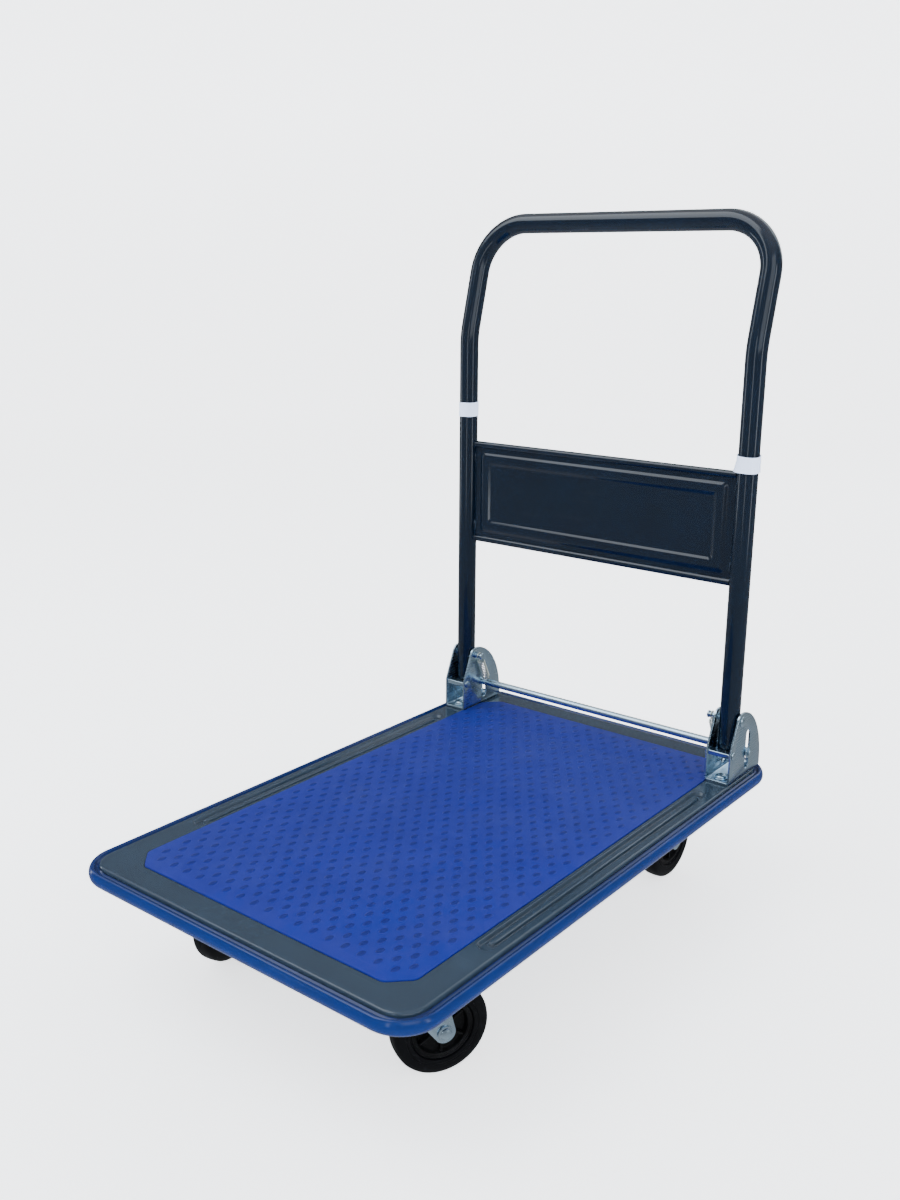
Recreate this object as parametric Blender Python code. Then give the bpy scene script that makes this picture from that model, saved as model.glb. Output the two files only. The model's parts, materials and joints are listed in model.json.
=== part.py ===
"""Folding platform cart: a pressed deck on four casters with a fold-down tube handle.

Metres, +Z up. X runs across the deck, +Y points to the handle end, and the
origin lies on the floor under the middle of the deck.
"""
import math

import bmesh
import bpy
from mathutils import Matrix, Vector

MM = 0.001
GAP = 0.3 * MM

# Deck: pressed pan, mat, rubber edge and the channels underneath
DECK_TOP = 146 * MM
PAN_HALF = Vector((225 * MM, 354.5 * MM))
PAN_CORNER = 32 * MM
SHEET = 1.5 * MM
SKIRT_DEPTH = 20 * MM
MAT_HALF = Vector((192 * MM, 322.5 * MM))
MAT_CUT = 22 * MM
MAT_SOFT = 10 * MM
MAT_SINK = 2 * MM
MAT_PROUD = 1 * MM
BEAD_X = 207 * MM
BEAD_HALF_LENGTH = 213 * MM
BEAD_HALF_WIDTH = 7 * MM
BEAD_DEPTH = 3 * MM
CHANNEL_BASE = 128.2 * MM
CHANNEL_SHEET = 2 * MM
CROSS_HALF = Vector((192 * MM, 36 * MM))
RAIL_X = 95 * MM
RAIL_HALF_WIDTH = 25 * MM

# Handle: one tube, its pivots and the pressed panel between the legs
TUBE_R = 12.5 * MM
TUBE_WALL = 1.5 * MM
LEG_X = 207.6 * MM
PIVOT_Y = 286 * MM
PIVOT_Z = DECK_TOP + 78 * MM
TUBE_FOOT = PIVOT_Z - 42 * MM
KINK_Z = DECK_TOP + 529 * MM
KINK_RADIUS = 110 * MM
LEAN = math.radians(14.5)
LEAN_LENGTH = 149 * MM
CORNER_RADIUS = 63 * MM
PANEL_LOW = DECK_TOP + 247 * MM
PANEL_HIGH = DECK_TOP + 388 * MM
PANEL_SHEET = 1.2 * MM
PANEL_STEP = 2.5 * MM
ROLL_R = 4.5 * MM
TAPE_HEIGHT = 19 * MM
TAPE_LOW = {"left": DECK_TOP + 421 * MM, "right": DECK_TOP + 389 * MM}

# Hinge brackets and the foot release
BRACKET_HALF = 17 * MM
CHEEK = 2.5 * MM
BRACKET_BASE = 3 * MM
BRACKET_FRONT = PIVOT_Y - 26.5 * MM
FIN_LENGTH = 60 * MM
FIN_HEIGHT = 89 * MM
FIN_BACK_Z = 8 * MM
PIN_R = 4 * MM
BAR_Y = PIVOT_Y - 19.8 * MM
BAR_Z = DECK_TOP + 38.5 * MM
BOLT_Y = (272 * MM, 331 * MM)
ROD_R = 5 * MM
ROD_Y = 307 * MM
ROD_Z = DECK_TOP + 32.2 * MM
ROD_HALF_LENGTH = 230 * MM
ROD_TRAVEL = 17 * MM
SPRING_X = LEG_X - BRACKET_HALF - 6.8 * MM

# Casters
WHEEL_R = 50 * MM
WHEEL_HALF = 12 * MM
TYRE_BORE = 33 * MM
AXLE_R = 5 * MM
FORK_INNER = 15 * MM
FORK_SHEET = 2.5 * MM
EYE_R = 11 * MM
SWIVEL_X = 146 * MM
SWIVEL_Y = -261 * MM
RIGID_X = 141 * MM
RIGID_Y = 261 * MM
TRAIL = 33 * MM
SWIVEL_ANGLE = {"left": 11, "right": -28}
PLATE_HALF = Vector((45 * MM, 34 * MM))
PLATE_TOP = CHANNEL_BASE - GAP
PLATE_SHEET = 2.5 * MM
CROWN_TOP = 116.6 * MM
KINGPIN_R = 5 * MM

SIDES = {"left": -1, "right": 1}


# ---------------------------------------------------------------- materials

def srgb(*levels):
    return [((v / 255 + 0.055) / 1.055) ** 2.4 if v > 10 else v / 3300 for v in levels]


FINISHES = {
    "deck_paint": (srgb(70, 86, 104), 0.35, 0.3),
    "blue_pvc": (srgb(46, 78, 165), 0.55, 0.0),
    "bumper_pvc": (srgb(12, 66, 140), 0.25, 0.0),
    "handle_paint": (srgb(28, 42, 58), 0.25, 0.2),
    "zinc": (srgb(160, 176, 186), 0.3, 0.9),
    "white_tape": (srgb(222, 228, 238), 0.5, 0.0),
    "tyre_rubber": (srgb(22, 26, 34), 0.6, 0.0),
    "hub_plastic": (srgb(14, 15, 18), 0.5, 0.0),
}


def material(finish):
    made = bpy.data.materials.get(finish)
    if made:
        return made
    colour, roughness, metallic = FINISHES[finish]
    made = bpy.data.materials.new(finish)
    made.use_nodes = True
    shader = made.node_tree.nodes["Principled BSDF"]
    shader.inputs["Base Color"].default_value = (*colour, 1)
    shader.inputs["Roughness"].default_value = roughness
    shader.inputs["Metallic"].default_value = metallic
    return made


# ---------------------------------------------------------------- shape tools

def loft(name, loops, finish, ring=False, parent=None):
    """One closed body through loops of equal length: capped at its ends, or a ring."""
    shape = bmesh.new()
    rows = [[shape.verts.new(point) for point in loop] for loop in loops]
    pairs = list(zip(rows, rows[1:]))
    if ring:
        pairs.append((rows[-1], rows[0]))
    else:
        shape.faces.new(rows[0])
        shape.faces.new(rows[-1])
    count = len(rows[0])
    for low, high in pairs:
        for i in range(count):
            j = (i + 1) % count
            shape.faces.new((low[i], low[j], high[j], high[i]))
    bmesh.ops.recalc_face_normals(shape, faces=shape.faces)
    mesh = bpy.data.meshes.new(name)
    shape.to_mesh(mesh)
    shape.free()
    mesh.shade_smooth()
    mesh.set_sharp_from_angle(angle=math.radians(35))
    mesh.materials.append(material(finish))
    body = bpy.data.objects.new(name, mesh)
    body.parent = parent
    bpy.context.scene.collection.objects.link(body)
    return body


def put_origin(body, point):
    """Moves the body's origin onto its joint axis, leaving the shape where it is."""
    body.data.transform(Matrix.Translation(-Vector(point)))
    body.location = point
    return body


def combine(body, operation, *tools):
    for tool in tools:
        step = body.modifiers.new(tool.name, "BOOLEAN")
        step.operation = operation
        step.object = tool
        tool.hide_render = True
        tool.display_type = "WIRE"
    return body


def cut(body, *tools):
    return combine(body, "DIFFERENCE", *tools)


def weld(body, *tools):
    return combine(body, "UNION", *tools)


def arc(centre, radius, start, end, steps):
    """Points of a plane arc, angles in degrees, both ends included."""
    angles = [math.radians(start + (end - start) * i / steps) for i in range(steps + 1)]
    return [(centre[0] + radius * math.cos(a), centre[1] + radius * math.sin(a)) for a in angles]


def rounded(half, radius, steps=7):
    """Outline of a rectangle with round corners, steps + 1 points at each corner."""
    points = []
    for quarter, (sx, sy) in enumerate(((1, 1), (-1, 1), (-1, -1), (1, -1))):
        centre = (sx * (half.x - radius), sy * (half.y - radius))
        points += arc(centre, radius, 90 * quarter, 90 * quarter + 90, steps)
    return points


def cut_corners(half, cut_by, soft, steps=3):
    """Outline of a rectangle with 45 degree corners, each end of a cut softened."""
    reach = soft * math.tan(math.radians(22.5))
    points = []
    for quarter, (sx, sy) in enumerate(((1, 1), (-1, 1), (-1, -1), (1, -1))):
        long_end = Vector((sx * (half.x - soft), sy * (half.y - cut_by - reach)))
        short_end = Vector((sx * (half.x - cut_by - reach), sy * (half.y - soft)))
        first, second = (long_end, short_end) if quarter % 2 == 0 else (short_end, long_end)
        start = 90 * quarter
        points += arc(first, soft, start, start + 45, steps)
        points += arc(second, soft, start + 45, start + 90, steps)
    return points


def at_z(outline, z, centre=(0, 0)):
    return [Vector((x + centre[0], y + centre[1], z)) for x, y in outline]


def at_x(outline, x):
    """Puts a (y, z) outline on a plane of constant x."""
    return [Vector((x, y, z)) for y, z in outline]


def box(name, low, high, finish, parent=None):
    corners = [(low[0], low[1]), (high[0], low[1]), (high[0], high[1]), (low[0], high[1])]
    loops = [at_z(corners, low[2]), at_z(corners, high[2])]
    return loft(name, loops, finish, parent=parent)


def turned_x(name, profile, finish, centre=(0, 0), sides=16, ring=False, parent=None):
    """Turns (x, radius) points about an axis along X through centre (y, z)."""
    loops = []
    for x, radius in profile:
        outline = arc(centre, radius, 0, 360, sides)[:-1]
        loops.append(at_x(outline, x))
    return loft(name, loops, finish, ring=ring, parent=parent)


def turned_z(name, profile, finish, centre=(0, 0), sides=20, ring=False, parent=None):
    """Turns (z, radius) points about a vertical axis through centre (x, y)."""
    loops = [at_z(arc((0, 0), radius, 0, 360, sides)[:-1], z, centre) for z, radius in profile]
    return loft(name, loops, finish, ring=ring, parent=parent)


def sweep_loops(path, radius, sides, normals):
    """Rings of a round section along a path, kept square to it by given normals."""
    loops = []
    for i, point in enumerate(path):
        before = path[max(i - 1, 0)]
        after = path[min(i + 1, len(path) - 1)]
        along = (after - before).normalized()
        across = (normals[i] - along * normals[i].dot(along)).normalized()
        other = along.cross(across)
        ring = []
        for k in range(sides):
            turn = math.tau * (k + 0.5) / sides
            ring.append(point + radius * (math.cos(turn) * across + math.sin(turn) * other))
        loops.append(ring)
    return loops


# ---------------------------------------------------------------- deck

def deck_pan():
    well = MAT_HALF + Vector((GAP, GAP))
    well_out = well + Vector((SHEET, SHEET))
    brow = 3 * MM
    loops = [
        at_z(cut_corners(well, MAT_CUT, MAT_SOFT), DECK_TOP - MAT_SINK),
        at_z(cut_corners(well, MAT_CUT, MAT_SOFT), DECK_TOP),
    ]
    for turn in (90, 45, 0):
        inset = brow * (1 - math.cos(math.radians(turn)))
        drop = brow * (1 - math.sin(math.radians(turn)))
        edge = PAN_HALF - Vector((inset, inset))
        loops.append(at_z(rounded(edge, PAN_CORNER - inset), DECK_TOP - drop))
    inner = PAN_HALF - Vector((SHEET, SHEET))
    under = PAN_HALF - Vector((brow, brow))
    loops += [
        at_z(rounded(PAN_HALF, PAN_CORNER), DECK_TOP - SKIRT_DEPTH),
        at_z(rounded(inner, PAN_CORNER - SHEET), DECK_TOP - SKIRT_DEPTH),
        at_z(rounded(inner, PAN_CORNER - SHEET), DECK_TOP - brow),
        at_z(rounded(under, PAN_CORNER - brow), DECK_TOP - SHEET),
        at_z(cut_corners(well_out, MAT_CUT, MAT_SOFT), DECK_TOP - SHEET),
        at_z(cut_corners(well_out, MAT_CUT, MAT_SOFT), DECK_TOP - MAT_SINK - SHEET),
    ]
    pan = loft("deck_pan", loops, "deck_paint")
    bead_long = Vector((BEAD_HALF_WIDTH, BEAD_HALF_LENGTH))
    for side, sign in SIDES.items():
        spot = (sign * BEAD_X, 0)
        skin = bead_long + Vector((SHEET, SHEET))
        floor = bead_long - Vector((SHEET, SHEET))
        low, top = DECK_TOP - BEAD_DEPTH - SHEET, DECK_TOP - SHEET / 2
        stock = [at_z(rounded(skin, skin.x - MM / 2), z, spot) for z in (low, top)]
        weld(pan, loft("bead_stock_" + side, stock, "deck_paint"))
        groove = [
            at_z(rounded(floor, floor.x - MM / 2), DECK_TOP - BEAD_DEPTH, spot),
            at_z(rounded(bead_long, bead_long.x - MM / 2), DECK_TOP, spot),
            at_z(rounded(bead_long, bead_long.x - MM / 2), DECK_TOP + MM, spot),
        ]
        cut(pan, loft("bead_groove_" + side, groove, "deck_paint"))
        for end, y in zip(("front", "rear"), BOLT_Y):
            hole = [(DECK_TOP - 5 * MM, 4.6 * MM), (DECK_TOP + MM, 4.6 * MM)]
            name = "pan_hole_" + side + "_" + end
            cut(pan, turned_z(name, hole, "zinc", (sign * LEG_X, y), sides=12))
    return pan


def deck_mat():
    soft = 0.6 * MM
    inner = MAT_HALF - Vector((soft, soft))
    loops = [
        at_z(cut_corners(MAT_HALF, MAT_CUT, MAT_SOFT), DECK_TOP - MAT_SINK + GAP),
        at_z(cut_corners(MAT_HALF, MAT_CUT, MAT_SOFT), DECK_TOP + MAT_PROUD - soft),
        at_z(cut_corners(inner, MAT_CUT, MAT_SOFT), DECK_TOP + MAT_PROUD),
    ]
    mat = loft("deck_mat", loops, "blue_pvc")
    # The mat is trimmed back where the brackets stand.
    edge = LEG_X - BRACKET_HALF - GAP
    for side, sign in SIDES.items():
        xs = sorted((sign * edge, sign * (edge + 10 * MM)))
        low = (xs[0], BRACKET_FRONT - GAP, DECK_TOP - 5 * MM)
        cut(mat, box("mat_trim_" + side, low, (xs[1], PAN_HALF.y, DECK_TOP + 5 * MM), "blue_pvc"))
    return mat


def edge_bumper():
    """Section points are (distance out from the pan's skirt, height below the deck), mm."""
    section = (
        (0.3, 4.2), (2.4, 5.2), (4.4, 5.4), (6.2, 3.4), (8, 1.7), (9.8, 1.8),
        (11.8, 4), (12.7, 7.5), (12.4, 11.8), (10.6, 15.8), (7, 18.8), (0.3, 19.2),
    )
    loops = []
    for out, drop in section:
        grown = PAN_HALF + Vector((out, out)) * MM
        loops.append(at_z(rounded(grown, PAN_CORNER + out * MM), DECK_TOP - drop * MM))
    return loft("edge_bumper", loops, "bumper_pvc", ring=True)


def tray_channel(name, low, high):
    """Open-topped channel along its longer side, its web at the bottom."""
    body = box(name, low, high, "deck_paint")
    along_x = high[0] - low[0] > high[1] - low[1]
    free = Vector((-MM, CHANNEL_SHEET) if along_x else (CHANNEL_SHEET, -MM))
    space_low = (low[0] + free.x, low[1] + free.y, low[2] + CHANNEL_SHEET)
    space_high = (high[0] - free.x, high[1] - free.y, high[2] + MM)
    return cut(body, box(name + "_space", space_low, space_high, "deck_paint"))


def underside():
    top = DECK_TOP - MAT_SINK - SHEET - GAP
    for name, y in (("cross_channel_front", SWIVEL_Y), ("cross_channel_rear", RIGID_Y)):
        low = (-CROSS_HALF.x, y - CROSS_HALF.y, CHANNEL_BASE)
        tray_channel(name, low, (CROSS_HALF.x, y + CROSS_HALF.y, top))
    start = SWIVEL_Y + CROSS_HALF.y + GAP
    end = RIGID_Y - CROSS_HALF.y - GAP
    for side, sign in SIDES.items():
        x = sign * RAIL_X
        low = (x - RAIL_HALF_WIDTH, start, CHANNEL_BASE)
        tray_channel("long_channel_" + side, low, (x + RAIL_HALF_WIDTH, end, top))


# ---------------------------------------------------------------- hinge brackets

def cheek_outline():
    """Shark-fin side of a bracket as (y, z): upright front, slant, round top, long back."""
    foot = DECK_TOP + GAP
    top_r = DECK_TOP + FIN_HEIGHT - PIVOT_Z
    points = [(BRACKET_FRONT, foot), (BRACKET_FRONT, DECK_TOP + 42 * MM)]
    points += arc((PIVOT_Y, PIVOT_Z), top_r, 160, 100, 4)
    for i in range(9):
        turn = math.radians(90 * (1 - i / 8))
        y = PIVOT_Y + FIN_LENGTH * math.cos(turn)
        rise = FIN_BACK_Z + (FIN_HEIGHT - FIN_BACK_Z) * math.sin(turn)
        points.append((y, DECK_TOP + rise))
    points.append((PIVOT_Y + FIN_LENGTH, foot))
    return points


def slot_outline():
    radius = ROD_R + 0.5 * MM
    high = ROD_Z + GAP
    low = ROD_Z - ROD_TRAVEL - 0.7 * MM
    return arc((ROD_Y, high), radius, 0, 180, 8) + arc((ROD_Y, low), radius, 180, 360, 8)


def cross_hole(name, x, y, z, radius, sides=16):
    """Cutter for a round hole through both cheeks of the bracket at x."""
    reach = BRACKET_HALF + 4 * MM
    return turned_x(name, [(x - reach, radius), (x + reach, radius)], "zinc", (y, z), sides)


def hinge_bracket(side, sign):
    x = sign * LEG_X
    outline = cheek_outline()
    sides = [at_x(outline, x - BRACKET_HALF), at_x(outline, x + BRACKET_HALF)]
    bracket = loft("hinge_bracket_" + side, sides, "zinc")
    inner = BRACKET_HALF - CHEEK
    floor = DECK_TOP + GAP + BRACKET_BASE
    reach = 5 * MM
    low = (x - inner, BRACKET_FRONT - reach, floor)
    high = (x + inner, PIVOT_Y + FIN_LENGTH + reach, DECK_TOP + FIN_HEIGHT + reach)
    slot = slot_outline()
    span = BRACKET_HALF + reach
    slot_tool = [at_x(slot, x - span), at_x(slot, x + span)]
    cut(
        bracket,
        box("bracket_space_" + side, low, high, "zinc"),
        loft("slot_tool_" + side, slot_tool, "zinc"),
        cross_hole("pivot_tool_" + side, x, PIVOT_Y, PIVOT_Z, PIN_R + 0.4 * MM),
        cross_hole("bar_tool_" + side, x, BAR_Y, BAR_Z, 3.4 * MM, sides=12),
    )
    for end, y in zip(("front", "rear"), BOLT_Y):
        hole = [(DECK_TOP - MM, 4.6 * MM), (floor + MM, 4.6 * MM)]
        cut(bracket, turned_z("base_tool_" + side + "_" + end, hole, "zinc", (x, y), sides=12))
    return bracket


def bracket_hardware(side, sign):
    x = sign * LEG_X
    inner = BRACKET_HALF - CHEEK - GAP
    bar_low = (x - inner, BAR_Y - 5.8 * MM, BAR_Z - 3 * MM)
    bar = box("stop_bar_" + side, bar_low, (x + inner, BAR_Y + 5.8 * MM, BAR_Z + 3 * MM), "zinc")
    outside = BRACKET_HALF + GAP
    head = [(1.6, 3.2), (1.0, 4.6), (0, 5), (0, 3)]
    rivet = [(x - outside - out * MM, radius * MM) for out, radius in head]
    rivet += [(x + outside + out * MM, radius * MM) for out, radius in reversed(head)]
    weld(bar, turned_x("bar_rivet_" + side, rivet, "zinc", (BAR_Y, BAR_Z), sides=12))
    floor = DECK_TOP + GAP + BRACKET_BASE + GAP
    for end, y in zip(("front", "rear"), BOLT_Y):
        bolt = [
            (DECK_TOP - 12 * MM, 4 * MM), (floor, 4 * MM), (floor, 8.5 * MM),
            (floor + 1.2 * MM, 8.5 * MM), (floor + 1.4 * MM, 6.8 * MM),
            (floor + 3.6 * MM, 6 * MM), (floor + 4.8 * MM, 3.6 * MM),
        ]
        turned_z("bracket_bolt_" + side + "_" + end, bolt, "zinc", (x, y), sides=12)
    # The pivot rivet: head outside, shank through the tube, grooved neck inboard for the spring.
    out = sign * (x + sign * outside)
    shape = [
        (out + 2.6 * MM, 3 * MM), (out + 1.8 * MM, 5.6 * MM), (out, 6.5 * MM), (out, PIN_R),
        (sign * x - outside - 3 * MM, PIN_R), (sign * x - outside - 3.4 * MM, 3 * MM),
        (sign * x - outside - 9.6 * MM, 3 * MM), (sign * x - outside - 10 * MM, 4.6 * MM),
        (sign * x - outside - 12 * MM, 4.6 * MM),
    ]
    pin = [(sign * place, radius) for place, radius in shape]
    turned_x("pivot_pin_" + side, pin, "zinc", (PIVOT_Y, PIVOT_Z))


# ---------------------------------------------------------------- handle

def handle_point(x, rise):
    """Place of a point x across the handle and rise along its developed length."""
    start = KINK_Z - KINK_RADIUS * math.tan(LEAN / 2)
    over = rise - start
    turn = min(max(over / KINK_RADIUS, 0), LEAN)
    y = PIVOT_Y + KINK_RADIUS * (1 - math.cos(turn))
    z = min(rise, start) + KINK_RADIUS * math.sin(turn)
    straight = max(over - KINK_RADIUS * LEAN, 0)
    place = Vector((x, y + straight * math.sin(LEAN), z + straight * math.cos(LEAN)))
    normal = Vector((0, math.cos(turn), -math.sin(turn)))
    return place, normal


def handle_tube():
    kink_start = KINK_Z - KINK_RADIUS * math.tan(LEAN / 2)
    kink_end = kink_start + KINK_RADIUS * LEAN
    top = kink_end + LEAN_LENGTH - KINK_RADIUS * math.tan(LEAN / 2)
    flat = [(-LEG_X, TUBE_FOOT)]
    flat += [(-LEG_X, kink_start + (kink_end - kink_start) * i / 4) for i in range(5)]
    flat += arc((CORNER_RADIUS - LEG_X, top - CORNER_RADIUS), CORNER_RADIUS, 180, 90, 8)
    flat += [(-x, rise) for x, rise in reversed(flat)]
    placed = [handle_point(x, rise) for x, rise in flat]
    path = [place for place, _ in placed]
    normals = [normal for _, normal in placed]
    outer = sweep_loops(path, TUBE_R, 16, normals)
    inner = sweep_loops(path, TUBE_R - TUBE_WALL, 16, normals)
    tube = loft("handle_tube", outer + inner[::-1], "handle_paint", ring=True)
    for side, sign in SIDES.items():
        hole = cross_hole("tube_hole_" + side, sign * LEG_X, PIVOT_Y, PIVOT_Z, PIN_R + 0.4 * MM)
        cut(tube, hole)
    return tube


def back_panel():
    half = Vector((LEG_X - TUBE_R - GAP, (PANEL_HIGH - PANEL_LOW) / 2 - ROLL_R))
    middle = (PANEL_HIGH + PANEL_LOW) / 2

    def face(inset, forward):
        size = half - Vector((inset, inset)) * MM
        corner = max(0.5, inset / 6) * MM
        return [Vector((x, PIVOT_Y - forward, middle + z)) for x, z in rounded(size, corner, 2)]

    steps = ((0, 0), (11, 0), (13.5, PANEL_STEP), (24, PANEL_STEP), (26.5, 0))
    front = [face(inset, forward + PANEL_SHEET / 2) for inset, forward in steps]
    back = [face(inset, forward - PANEL_SHEET / 2) for inset, forward in steps]
    panel = loft("back_panel", front[::-1] + back, "handle_paint")
    for name, z in (("panel_roll_top", PANEL_HIGH), ("panel_roll_low", PANEL_LOW)):
        z += ROLL_R if z < middle else -ROLL_R
        ends = [(-half.x, ROLL_R), (half.x, ROLL_R)]
        weld(panel, turned_x(name, ends, "handle_paint", (PIVOT_Y, z), sides=10))
    return panel


def tape_band(side, sign):
    low = TAPE_LOW[side]
    inner, outer = TUBE_R + 0.5 * MM, TUBE_R + 1 * MM
    shape = [(low, inner), (low, outer), (low + TAPE_HEIGHT, outer), (low + TAPE_HEIGHT, inner)]
    return turned_z("tape_band_" + side, shape, "white_tape", (sign * LEG_X, PIVOT_Y), ring=True)


# ---------------------------------------------------------------- foot release

def release_rod():
    soft = MM
    reach = ROD_HALF_LENGTH
    shape = [(-reach, ROD_R - soft), (soft - reach, ROD_R)]
    shape += [(-x, radius) for x, radius in reversed(shape)]
    rod = turned_x("release_rod", shape, "zinc", (ROD_Y, ROD_Z))
    put_origin(rod, (0, ROD_Y, ROD_Z))
    face = LEG_X + BRACKET_HALF + 0.6 * MM
    ring = ((0, 5.5), (0, 7.2), (0.4, 8), (1.4, 8), (1.8, 7), (1.8, 5.5))
    for side, sign in SIDES.items():
        shape = [(sign * (face + out * MM), radius * MM) for out, radius in ring]
        washer = turned_x("rod_washer_" + side, shape, "zinc", (ROD_Y, ROD_Z), ring=True)
        put_origin(washer, (0, ROD_Y, ROD_Z))


def return_spring(side, sign):
    """Extension spring from the pivot pin's neck down to the rod, with a loop at each end."""
    wire = 0.8 * MM
    coil_r = 5 * MM
    turns = 8
    per_turn = 8
    x = sign * SPRING_X
    top = Vector((x, PIVOT_Y, PIVOT_Z))
    low = Vector((x, ROD_Y, ROD_Z))
    down = (low - top).normalized()
    side_way = Vector((sign, 0, 0))
    third = down.cross(side_way)
    path = []
    top_r, low_r = 4.6 * MM, 6.5 * MM
    hook = 8
    for i in range(hook):
        turn = math.radians(240 * i / (hook - 1) - 60)
        path.append(top + top_r * (math.sin(turn) * third - math.cos(turn) * down))
    length = (low - top).length
    start, end = 8.5 * MM, length - 10.5 * MM
    for i in range(turns * per_turn + 1):
        turn = math.tau * i / per_turn
        along = start + (end - start) * i / (turns * per_turn)
        ring = math.cos(turn) * third + math.sin(turn) * side_way
        path.append(top + down * along + coil_r * ring)
    for i in range(hook):
        turn = math.radians(240 * i / (hook - 1) + 20)
        path.append(low + low_r * (math.sin(turn) * third - math.cos(turn) * down))
    normals = []
    for i in range(len(path)):
        spot = min(max((path[i] - top).dot(down), 0), length)
        axis_point = top + down * spot
        inward = axis_point - path[i]
        looped = i < hook or i >= len(path) - hook
        normals.append(side_way if looped else inward)
    loops = sweep_loops(path, wire, 4, normals)
    return loft("return_spring_" + side, loops, "zinc")


# ---------------------------------------------------------------- casters

def pivot(name, place, turn=0, parent=None):
    """Empty on a joint's axis, the parent of what moves with it."""
    empty = bpy.data.objects.new(name, None)
    empty.location = place
    empty.rotation_euler = (0, 0, math.radians(turn))
    empty.parent = parent
    bpy.context.scene.collection.objects.link(empty)
    return empty


def wheel(tag, parent):
    """Tyre and hub about the X axis of the parent empty, which sits on the axle."""
    soft = 6 * MM
    half = WHEEL_HALF
    shoulder = [(half - soft + soft * math.cos(a), WHEEL_R - soft + soft * math.sin(a))
                for a in (0, math.radians(45), math.radians(80))]
    right = [(half - 1.5 * MM, TYRE_BORE)] + [(half, TYRE_BORE + 2 * MM)] + shoulder
    left = [(-x, radius) for x, radius in reversed(right)]
    turned_x("tyre_" + tag, right + left, "tyre_rubber", sides=28, ring=True, parent=parent)
    rim = TYRE_BORE - GAP
    boss = FORK_INNER - 0.8 * MM
    face = [
        (boss, AXLE_R + 0.5 * MM), (boss, 10 * MM), (4 * MM, 12 * MM), (4 * MM, 26 * MM),
        (half - 2 * MM, 28 * MM), (half - 2 * MM, rim),
    ]
    other = [(-x, radius) for x, radius in reversed(face)]
    turned_x("hub_" + tag, face + other, "hub_plastic", sides=20, ring=True, parent=parent)


def axle_set(tag, parent):
    """Axle bolt with a low head on the +X cheek and a hexagon nut on the other."""
    out = FORK_INNER + FORK_SHEET + GAP
    bolt = [
        (out + 3.2 * MM, 3.4 * MM), (out + 2.6 * MM, 5.6 * MM), (out + 1.2 * MM, 6.4 * MM),
        (out + 1.2 * MM, 8 * MM), (out, 8 * MM), (out, AXLE_R), (-out - 7 * MM, AXLE_R),
    ]
    turned_x("axle_bolt_" + tag, bolt, "zinc", parent=parent)
    nut = [(-out, 6.3 * MM), (-out, 9 * MM), (-out - 6 * MM, 9 * MM), (-out - 6 * MM, 6.3 * MM)]
    turned_x("axle_nut_" + tag, nut, "zinc", sides=6, ring=True, parent=parent)


def fork_shape(name, outline, crown_low, axle_y, parent):
    """Two legs under a crown: the side outline run across, with the wheel space cut out."""
    width = FORK_INNER + FORK_SHEET
    fork = loft(name, [at_x(outline, -width), at_x(outline, width)], "zinc", parent=parent)
    low = (-FORK_INNER, -80 * MM, 0)
    space = box(name + "_space", low, (FORK_INNER, 110 * MM, crown_low), "zinc", parent=parent)
    ends = [(-width - MM, AXLE_R + 0.4 * MM), (width + MM, AXLE_R + 0.4 * MM)]
    bore = turned_x(name + "_bore", ends, "zinc", (axle_y, WHEEL_R), parent=parent)
    return cut(fork, space, bore)


def swivel_caster(side, sign):
    tag = "front_" + side
    spot = (sign * SWIVEL_X, SWIVEL_Y)
    low = PLATE_TOP - PLATE_SHEET
    outline = rounded(PLATE_HALF, 6 * MM, 3)
    plate = loft("swivel_plate_" + side, [at_z(outline, low, spot), at_z(outline, PLATE_TOP, spot)], "zinc")
    stem = [(low - MM, KINGPIN_R + 0.4 * MM), (PLATE_TOP + MM, KINGPIN_R + 0.4 * MM)]
    cut(plate, turned_z("plate_bore_" + side, stem, "zinc", spot, sides=16))
    race_top = low - GAP
    race_low = CROWN_TOP + GAP
    race = [
        (race_top, 8 * MM), (race_top, 21 * MM), (race_top - 3 * MM, 26 * MM),
        (race_low, 26 * MM), (race_low, 8 * MM),
    ]
    turned_z("ball_race_" + side, race, "zinc", spot, sides=24, ring=True)
    crown_low = CROWN_TOP - FORK_SHEET
    pin = [
        (PLATE_TOP, KINGPIN_R), (crown_low - GAP, KINGPIN_R), (crown_low - GAP, 9 * MM),
        (crown_low - 5 * MM, 9 * MM), (crown_low - 6.5 * MM, 7 * MM),
    ]
    turned_z("kingpin_" + side, pin, "zinc", spot, sides=16)
    swing = pivot("swivel_axis_" + side, (*spot, 0), SWIVEL_ANGLE[side])
    legs = [(-24 * MM, CROWN_TOP), (-24 * MM, CROWN_TOP - 9 * MM)]
    legs += arc((TRAIL, WHEEL_R), EYE_R, 222, 378, 8)
    legs += [(30 * MM, CROWN_TOP - 9 * MM), (28 * MM, CROWN_TOP)]
    fork = fork_shape("fork_" + tag, legs, crown_low, TRAIL, swing)
    bore = [(crown_low - MM, KINGPIN_R + 0.5 * MM), (CROWN_TOP + MM, KINGPIN_R + 0.5 * MM)]
    cut(fork, turned_z("crown_bore_" + side, bore, "zinc", sides=16, parent=swing))
    axle = pivot("axle_axis_" + tag, (0, TRAIL, WHEEL_R), parent=swing)
    wheel(tag, axle)
    axle_set(tag, axle)


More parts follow.
